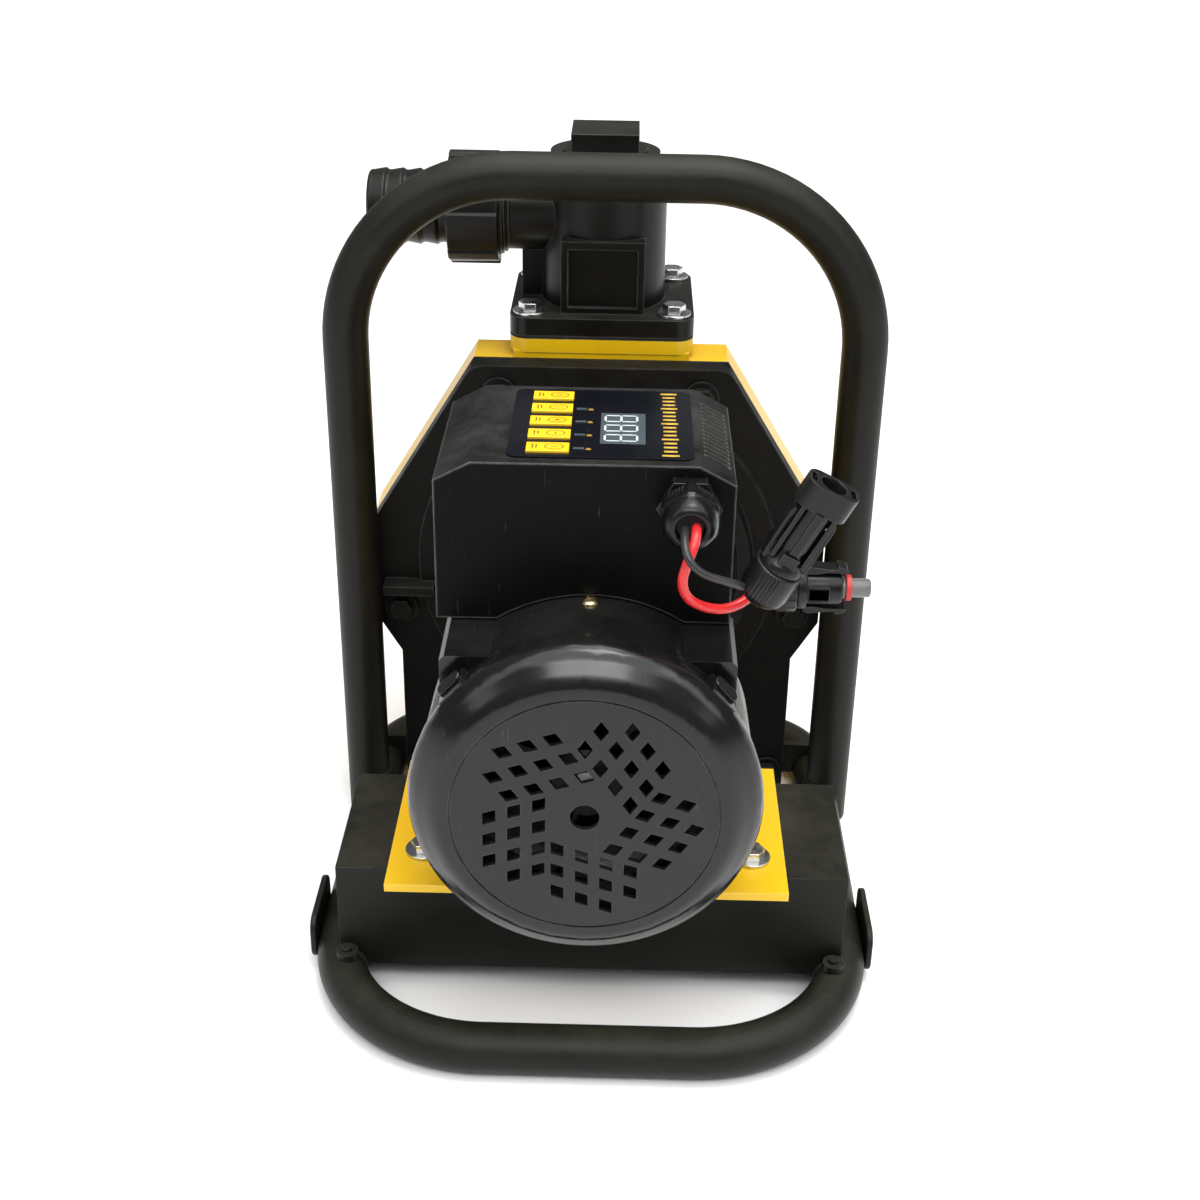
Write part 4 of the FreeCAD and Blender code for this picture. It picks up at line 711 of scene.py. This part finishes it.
# %% Key prints
PRINT_HEIGHT = 0.06 * MM
OVAL_HALF, OVAL_LINE = (3.7 * MM, 2.7 * MM), 0.42 * MM
SYMBOL_LINE, CAPTION_LINE, SQUARE_LINE = 0.5 * MM, 0.55 * MM, 0.4 * MM
OVAL_OFFSET, CAPTION_OFFSET = 2.6 * MM, -5.4 * MM


def dash(bm, x, y, z, length, width, along_x=True):
    step = Vector((length / 2, 0, 0)) if along_x else Vector((0, length / 2, 0))
    middle = Vector((x, y, z))
    strip(bm, [middle - step, middle + step], width, PRINT_HEIGHT)


def key_print(number):
    low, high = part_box(f"button_{number}")
    x, y, z = (low.x + high.x) / 2 + OVAL_OFFSET, (low.y + high.y) / 2, high.z
    bm = bmesh.new()
    oval = [(x + OVAL_HALF[0] * math.cos(t), y + OVAL_HALF[1] * math.sin(t), z) for t in full_turn(40)]
    strip(bm, oval, OVAL_LINE, PRINT_HEIGHT, closed=True)
    if number == 1:
        dash(bm, x, y, z, 2.6 * MM, SYMBOL_LINE)
    elif number == 2:
        dash(bm, x, y, z, 2.4 * MM, SYMBOL_LINE, along_x=False)
    elif number == 3:
        dash(bm, x, y, z, 2.6 * MM, SYMBOL_LINE)
        for side in (-1, 1):
            dash(bm, x, y + side * 0.8 * MM, z, 1.1 * MM, SYMBOL_LINE, along_x=False)
    elif number == 4:
        for step in (-1.4, 0, 1.4):
            dash(bm, x + step * MM, y, z, 0.7 * MM, 0.7 * MM)
    else:
        half = 0.9 * MM
        square = [(x + a * half, y + b * half, z) for a, b in CORNERS]
        strip(bm, square, SQUARE_LINE, PRINT_HEIGHT, closed=True)
    caption = (low.x + high.x) / 2 + CAPTION_OFFSET
    for step, length in ((-0.7, 4.6), (0.8, 3.4)):
        dash(bm, caption + step * MM, y, z, length * MM, CAPTION_LINE, along_x=False)
    return add_piece(f"key_print_{number}", bm, "icon_print", f"button_{number}")


key_prints = [key_print(number) for number in range(1, 6)]
print("key prints:", len(key_prints))

# %% [markdown]
# The window shows three seven-segment digits. They stand sideways, because the keypad is read from the
# pump's right. A segment is a bar with pointed ends, and a digit is seven of them.

# %% Digits, lamp marks and the gold scale
window_low, window_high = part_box("led_display")
DIGIT_TALL, DIGIT_WIDE, SEGMENT = 13.2 * MM, 6.6 * MM, 0.95 * MM


def segment(bm, middle, length, along_x):
    reach, half = length / 2, SEGMENT / 2
    shape = [(-reach, 0), (half - reach, -half), (reach - half, -half), (reach, 0), (reach - half, half),
             (half - reach, half)]
    outline = [(x, y) if along_x else (y, -x) for x, y in shape]
    slab(bm, outline, 0, PRINT_HEIGHT, Matrix.Translation(middle))


def digit(bm, centre):
    for end in (-1, 0, 1):
        segment(bm, centre + Vector((end * DIGIT_TALL / 2, 0, 0)), DIGIT_WIDE - SEGMENT * 1.15, False)
    for end in (-1, 1):
        for side in (-1, 1):
            place = centre + Vector((end * DIGIT_TALL / 4, side * DIGIT_WIDE / 2, 0))
            segment(bm, place, DIGIT_TALL / 2 - SEGMENT * 0.25, True)


digits = bmesh.new()
digit_pitch = (window_high.y - window_low.y) / 3.15
for step in (-1, 0, 1):
    digit(digits, Vector(((window_low.x + window_high.x) / 2 - 0.8 * MM,
                          (window_low.y + window_high.y) / 2 + step * digit_pitch, window_high.z)))
add_piece("window_digits", digits, "segment_print", "frame")

panel_low, panel_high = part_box("label_panel")
gold = bmesh.new()
LAMP_MARK, LAMP_LINE = 7.6 * MM, 0.45 * MM
for number in range(1, 5):
    low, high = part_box(f"button_{number}")
    middle = (low.y + high.y) / 2
    for step, length in ((-0.6, 2.4), (0.5, 1.8)):
        dash(gold, high.x + LAMP_MARK, middle + step * MM, panel_high.z, length * MM, LAMP_LINE)
SCALE_MARKS, MARK_SHORT, MARK_LONG, MARK_WIDTH = 17, 5.4 * MM, 7.0 * MM, 1.7 * MM
scale_x, scale_pitch = panel_high.x - 9.4 * MM, (panel_high.y - panel_low.y) / (SCALE_MARKS + 0.6)
for mark in range(SCALE_MARKS):
    y = panel_low.y + scale_pitch * (mark + 0.8)
    dash(gold, scale_x, y, panel_high.z, MARK_SHORT if mark % 4 else MARK_LONG, MARK_WIDTH)
add_piece("panel_gold_print", gold, "gold_print", "frame")
print("window and panel prints done; digit pitch", round(digit_pitch / MM, 1), "mm")

# %% [markdown]
# ## Cable gland
# The gland's cap is a hexagon with fine ribs moulded on its flats, running into a smooth dome whose mouth
# squeezes the seal around the wires. It is one polar form: the ring's radius is a hexagon's, less a rib
# pattern, then a circle's. It turns with its joint.

# %% Gland cap
gland_low, gland_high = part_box("gland_nut")
gland_frame = frame_at(((gland_low.x + gland_high.x) / 2, gland_high.y, (gland_low.z + gland_high.z) / 2),
                       (0, -1, 0), (1, 0, 0))
HEX_FLAT, HEX_CORNER, DOME_R, MOUTH_R = 11.3, 12.3, 11.2, 5.9
RIB_DEPTH, RIBS, RIB_REACH = 0.32, 48, 0.36
hex_rows = [0, 0.5, 1.2, 1.5, 8.2, 8.5, 9.3, 9.9, 10.2]
dome_rows = [10.2 + 8.0 * math.sin(k * math.pi / 16) for k in range(1, 9)]
gland_rows = hex_rows + dome_rows + [18.0, 16.5, 12.5]


def gland_radius(turn, row):
    from_flat = (turn + math.pi / 6) % (math.pi / 3) - math.pi / 6
    hexagon = min(HEX_FLAT / math.cos(from_flat), HEX_CORNER)
    rib = RIB_DEPTH if abs(from_flat) < RIB_REACH and math.cos(turn * RIBS) > 0 else 0.0
    if row in (0, 8):
        return (hexagon - 0.6) * MM
    if row <= 7:
        return (hexagon - (rib if 3 <= row <= 4 else 0.0)) * MM
    if row <= 16:
        slope = (row - 8) / 8
        return (MOUTH_R + 0.5 + (DOME_R - MOUTH_R - 0.5) * math.cos(slope * math.pi / 2)) * MM
    return (MOUTH_R - (0.0 if row == 17 else 0.2)) * MM


gland_cap = bmesh.new()
polar_form(gland_cap, [z * MM for z in gland_rows], gland_radius, gland_frame, around=288)
add_piece("gland_cap", gland_cap, "nylon", "gland_nut", replaces=["gland_nut"])
print("gland cap rings:", len(gland_rows))

# %% [markdown]
# ## Solar connectors
# A solar lead ends in a plug and a socket that lock together with two sprung arms. Both are black glass
# filled nylon with a ribbed cap nut at the rear. They are built in the connector's own frame, Z along it,
# so each shape can be written down without thinking about how it lies.

# %% A ribbed cap nut and the plug
PLUG_FRAME = frame_at(Vector((68, -136, 226)) * MM, (1, 0, 0), (0, 0, 1))
SOCKET_FRAME = frame_at(Vector((63.5, -152.5, 229)) * MM, (0.443, -0.113, 0.889), (0.885, 0, -0.466))


def cap_nut(name, frame, length, rib_test, replaces):
    heights = [0, 0.3, 1.2, 2.6, 4.4, 5.2, length - 0.9, length - 0.3, length]
    radii = [6.0, 6.9, 8.2, 9.2, 9.7, 9.8, 9.8, 9.5, 8.9]
    bm = bmesh.new()
    polar_form(bm, [z * MM for z in heights],
               lambda turn, row: (radii[row] + (0.42 if 4 <= row <= 6 and rib_test(turn) else 0.0)) * MM,
               frame, around=240)
    return add_piece(name, bm, "nylon", "frame", replaces=replaces)


cap_nut("plug_cap", PLUG_FRAME, 12.0, lambda turn: math.cos(turn * 14) > 0.1, ["plug_nut"])
cap_nut("socket_cap", SOCKET_FRAME, 17.0,
        lambda turn: math.cos(turn * 3 - 0.6) > 0.35 and math.cos(turn * 42) > 0.1, ["socket_nut"])


def rounded_box(half_x, half_y, corner, steps=5):
    outline = []
    for sx, sy, start in ((1, 1, 0), (-1, 1, 90), (-1, -1, 180), (1, -1, 270)):
        for k in range(steps + 1):
            turn = math.radians(start + 90 * k / steps)
            outline.append(((sx * (half_x - corner) + corner * math.cos(turn)) * MM,
                            (sy * (half_y - corner) + corner * math.sin(turn)) * MM))
    return outline


def arm(bm, frame, side, profile, half_width):
    """A sprung arm: its (out, along) profile is given a width across the connector."""
    upright = frame @ Matrix(((side, 0, 0, 0), (0, 0, side, 0), (0, 1, 0, 0), (0, 0, 0, 1)))
    slab(bm, [(out * MM, along * MM) for out, along in profile], -half_width * MM, half_width * MM, upright)


plug = bmesh.new()
lathe(plug, [(8.3, 12.0), (8.7, 12.5), (8.7, 15.2), (8.3, 15.8), (7.0, 16.0), (7.0, 28.5), (6.6, 29.6),
             (4.6, 30.0)], PLUG_FRAME)
PLUG_ARM = [(7.0, 15), (9.4, 15), (10.2, 17), (9.2, 25), (9.4, 27.5), (10.6, 27.8), (9.6, 31.5), (7.9, 32),
            (7.8, 24), (7.0, 19)]
for side in (-1, 1):
    arm(plug, PLUG_FRAME, side, PLUG_ARM, 3.6)
for side in (-1, 1):
    slab(plug, rounded_box(3.2, 7.6, 1.0), 16.5 * MM, 24.5 * MM, PLUG_FRAME)
plug_shell = add_piece("plug_shell", plug, "nylon", "frame", 0.25)

nose = bmesh.new()
lathe(nose, [(4.4, 29.5), (4.4, 31.4), (3.9, 31.6), (3.9, 34.0), (3.8, 34.2), (3.8, 40.6), (3.5, 41.2),
             (3.0, 41.45), (2.2, 41.4), (1.9, 41.0), (1.9, 36.0)], PLUG_FRAME)
plug_nose = add_piece("plug_nose_tube", nose, "contact_grey", "frame", replaces=["plug_body"])
print("plug pieces:", plug_shell.name, plug_nose.name)

# %% [markdown]
# The socket is a narrow barrel under an oval head, with a mouth bored through both. The barrel and the head
# are carved one at a time, because a Boolean is surest on one closed solid. Arms, ribs and pin are added.

# %% The socket's barrel and head
def mouth_tool():
    bm = bmesh.new()
    lathe(bm, [(5.1, 30), (5.1, 56.4), (5.6, 57.4), (6.0, 58.5)], SOCKET_FRAME)
    return bm


def socket_slab(bm, x, y, half_x, half_y, low, high):
    outline = [((x + a * half_x) * MM, (y + b * half_y) * MM) for a, b in CORNERS]
    slab(bm, outline, low * MM, high * MM, SOCKET_FRAME)
    return bm


barrel = bmesh.new()
lathe(barrel, [(8.6, 17.0), (9.0, 17.4), (9.0, 19.4), (8.2, 20.6), (6.3, 23.0), (6.0, 27.0), (6.6, 29.0),
               (6.6, 46.6)], SOCKET_FRAME)
socket_barrel = add_piece("socket_barrel", carve(barrel, [mouth_tool()]), "nylon", "frame", 0.2,
                          replaces=["socket_body"])
head = bmesh.new()
slab(head, rounded_box(10.7, 6.6, 5.4, 8), 46.5 * MM, 57.3 * MM, SOCKET_FRAME)
slots = [socket_slab(bmesh.new(), side * 8.3, 0, 1.1, 3.0, 50, 60) for side in (-1, 1)]
socket_head = add_piece("socket_head", carve(head, [mouth_tool()] + slots), "nylon", "frame",
                        0.4)

# %% The socket's arms, ribs and pin
arms = bmesh.new()
SOCKET_ARM = [(7.4, 19.5), (9.3, 19.5), (9.6, 24), (9.6, 41.5), (8.8, 43.5), (7.6, 43.5), (7.6, 41), (8.2, 39),
              (8.2, 27), (6.4, 24)]
for side in (-1, 1):
    arm(arms, SOCKET_FRAME, side, SOCKET_ARM, 3.4)
    for across in (-1, 1):
        socket_slab(arms, side * 6.6, across * 4.6, 0.9, 0.9, 22, 46.8)
add_piece("socket_arms", arms, "nylon", "frame", 0.25)
spine = bmesh.new()
for side in (-1, 1):
    socket_slab(spine, 0, side * 6.6, 1.7, 0.9, 27, 46.8)
    socket_slab(spine, 0, side * 6.7, 3.6, 0.7, 20.5, 26)
add_piece("socket_spine", spine, "nylon", "frame", 0.25)
pin = bmesh.new()
lathe(pin, [(1.6, 30), (1.6, 50), (1.2, 51.5), (0.5, 52)], SOCKET_FRAME)
add_piece("socket_pin", pin, "steel", "frame")
print("socket pieces:", socket_barrel.name, socket_head.name)

# %% [markdown]
# ## Screws in the fan cover
# Three golden pan-head screws hold the cover. Each has a low dome and a cross recess, carved out of the
# dome by two crossed slabs.

# %% Pan-head screws
SCREW_R, SCREW_H, BRIM = 3.7, 1.9, 0.45
RECESS_LONG, RECESS_HALF, RECESS_FLOOR = 2.3 * MM, 0.35 * MM, 0.7 * MM
SCREWS = 3
low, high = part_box("cover_screws")
cover_low, cover_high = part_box("fan_cover")
screw_y = high.y - SCREW_R * MM
screw_reach = high.z - motor_z - 1.8 * MM


def pan_screw(index):
    turn = math.tau * index / SCREWS
    outwards = Vector((math.sin(turn), 0, math.cos(turn)))
    at = Vector((motor_x, screw_y, motor_z)) + outwards * (screw_reach - 0.1 * MM)
    frame = frame_at(at, outwards, (0, 1, 0)) @ Matrix.Rotation(0.5 + index, 4, "Z")
    head = bmesh.new()
    dome = [(SCREW_R * math.cos(k * 0.22), BRIM + (SCREW_H - BRIM) * math.sin(k * 0.26)) for k in range(1, 6)]
    lathe(head, [(SCREW_R, 0), (SCREW_R, BRIM)] + dome, frame, 48)
    cutters = []
    for quarter in (0, math.pi / 2):
        bm = bmesh.new()
        outline = [(a * RECESS_LONG, b * RECESS_HALF) for a, b in CORNERS]
        slab(bm, outline, RECESS_FLOOR, 3 * MM, frame @ Matrix.Rotation(quarter, 4, "Z"))
        cutters.append(bm)
    return carve(head, cutters)


for index in range(SCREWS):
    add_piece(f"cover_screw_{index + 1}", pan_screw(index), "gold_zinc", "frame", 0.12,
              replaces=["cover_screws"])
print("cover screws reach", round(screw_reach / MM, 1), "mm from the axis")

# %% [markdown]
# ## Pads on the cover
# Behind the polished rim, where the cover's ears meet it, two pads stand up. They are slabs with round
# ends that lie across the rim's shoulder, so each is a slab in a frame that leans with the shoulder.

# %% Pads beside the rim
RIM_R = (cover_high.x - cover_low.x) / 2
PAD_TURN, PAD_BEHIND, PAD_SUNK = math.radians(48), 20.5 * MM, 2.6 * MM
for side, name in ((-1, "cover_pad_left"), (1, "cover_pad_right")):
    outwards = Vector((side * math.sin(PAD_TURN), 0, math.cos(PAD_TURN)))
    at = Vector((motor_x, cover_front + PAD_BEHIND, motor_z)) + outwards * (RIM_R - PAD_SUNK)
    lean = outwards + Vector((0, -0.25, 0))
    pad = bmesh.new()
    pad_frame = frame_at(at, lean, Vector((side * math.cos(PAD_TURN), 0, -math.sin(PAD_TURN))))
    slab(pad, rounded_box(6.6, 3.2, 3.1, 6), 0, 5.4 * MM, pad_frame)
    add_piece(name, pad, "polished_cover", "frame", 0.9)
print("pads at", round(RIM_R / MM, 1), "mm from the axis")

# %% [markdown]
# ## Weld beads
# The frame is welded, and a weld is a row of small overlapping ripples, each the edge of a pool that froze.
# A sweep gives that: a round section whose radius rises and drops once per ripple. The beads lie in the
# corners where the hoop meets the rails and where the bridge sits on them.

# %% Weld beads
ring_low, ring_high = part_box("base_ring")
hoop_low, hoop_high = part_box("carry_hoop")
tube_r = (ring_high.z - ring_low.z) / 2
rail_x, leg_x, hoop_y = ring_high.x - tube_r, hoop_high.x - tube_r, (hoop_low.y + hoop_high.y) / 2
BEAD, RIPPLE = 2.0 * MM, 1.7 * MM


def bead_section(radius):
    return [(math.cos(t) * radius, math.sin(t) * radius) for t in full_turn(10)]


def weld_bead(bm, path, up):
    lengths = [0.0]
    for first, second in zip(path, path[1:]):
        lengths.append(lengths[-1] + (second - first).length)
    total = lengths[-1]
    fine, steps = [], max(8, int(total / (RIPPLE / 5)))
    for k in range(steps + 1):
        want, i = total * k / steps, 0
        while i < len(path) - 2 and lengths[i + 1] < want:
            i += 1
        share = (want - lengths[i]) / max(lengths[i + 1] - lengths[i], 1e-9)
        fine.append(path[i].lerp(path[i + 1], share))
    sizes = []
    for k in range(steps + 1):
        phase = (total * k / steps / RIPPLE) % 1.0
        end = min(1.0, min(k, steps - k) / 5 + 0.25)
        sizes.append(BEAD * end * (0.82 + 0.18 * math.sqrt(1 - phase) + random.uniform(-0.02, 0.02)))
    sweep(bm, fine, lambda i: bead_section(sizes[i]), up)


welds = bmesh.new()
for side in (-1, 1):
    path = []
    for k in range(25):
        turn = math.radians(66 + 228 * k / 24)
        x = leg_x + tube_r * math.cos(turn)
        z = tube_r + math.sqrt(max(tube_r ** 2 - (x - rail_x) ** 2, 0))
        path.append(Vector((side * x, hoop_y + tube_r * math.sin(turn), z)))
    weld_bead(welds, path, Vector((side * 0.3, 0.2, 1)))
bridge_low, bridge_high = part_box("bridge_channel")
for side in (-1, 1):
    for wall_y, centre_x in ((bridge_low.y, rail_x - 2.8 * MM), (bridge_high.y, rail_x)):
        reach = tube_r + 0.2 * MM
        last = math.acos(max(-1, min(1, (bridge_high.x - centre_x) / reach)))
        turns = [math.pi + (last - math.pi) * k / 12 for k in range(13)]
        path = [Vector((side * (centre_x + reach * math.cos(t)), wall_y, tube_r + reach * math.sin(t)))
                for t in turns]
        weld_bead(welds, path, Vector((0, 1, 0.1)))
    edge_x = side * (bridge_high.x + 0.3 * MM)
    edge_z = tube_r + math.sqrt(tube_r ** 2 - (bridge_high.x - rail_x) ** 2)
    weld_bead(welds, [Vector((edge_x, y, edge_z)) for y in (bridge_low.y + 16 * MM, bridge_high.y - 4 * MM)],
              Vector((0, 0.1, 1)))
strap_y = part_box("foot_strap")[1].y
for side in (-1, 1):
    turns = [math.radians(180 - 118 * k / 12) for k in range(9)]
    path = [Vector((side * (rail_x + tube_r * math.cos(t)), strap_y, tube_r + tube_r * math.sin(t)))
            for t in turns]
    weld_bead(welds, path, Vector((0, 1, 0.1)))
add_piece("weld_beads", welds, "powder_coat", "frame")
print("rail centre", round(rail_x / MM, 1), "mm, leg centre", round(leg_x / MM, 1), "mm")

# %% [markdown]
# ## Thread at the outlet
# A few turns of the branch's coarse thread show beside the union nut. A real thread is a ridge on a helix,
# so it is swept along one.

# %% Outlet thread
nut_low, nut_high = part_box("union_nut")
branch_y, branch_z = (nut_low.y + nut_high.y) / 2, (nut_low.z + nut_high.z) / 2
THREAD_R, THREAD_PITCH, THREAD_TURNS = 20.6 * MM, 2.3 * MM, 2.6
thread = bmesh.new()
thread_start = nut_high.x - 0.6 * MM
steps = int(THREAD_TURNS * 60)
helix = []
for k in range(steps + 1):
    turn = math.tau * THREAD_TURNS * k / steps
    helix.append(Vector((thread_start + THREAD_PITCH * turn / math.tau, branch_y + THREAD_R * math.cos(turn),
                         branch_z + THREAD_R * math.sin(turn))))
ridge = [(-0.95 * MM, -0.9 * MM), (0.95 * MM, -0.9 * MM), (0.35 * MM, 0.9 * MM), (-0.35 * MM, 0.9 * MM)]
sweep(thread, helix, lambda i: ridge, lambda i: helix[i] - Vector((helix[i].x, branch_y, branch_z)))
add_piece("branch_thread_turns", thread, "moulded_outlet", "frame", 0.15)
print("thread turns:", THREAD_TURNS)
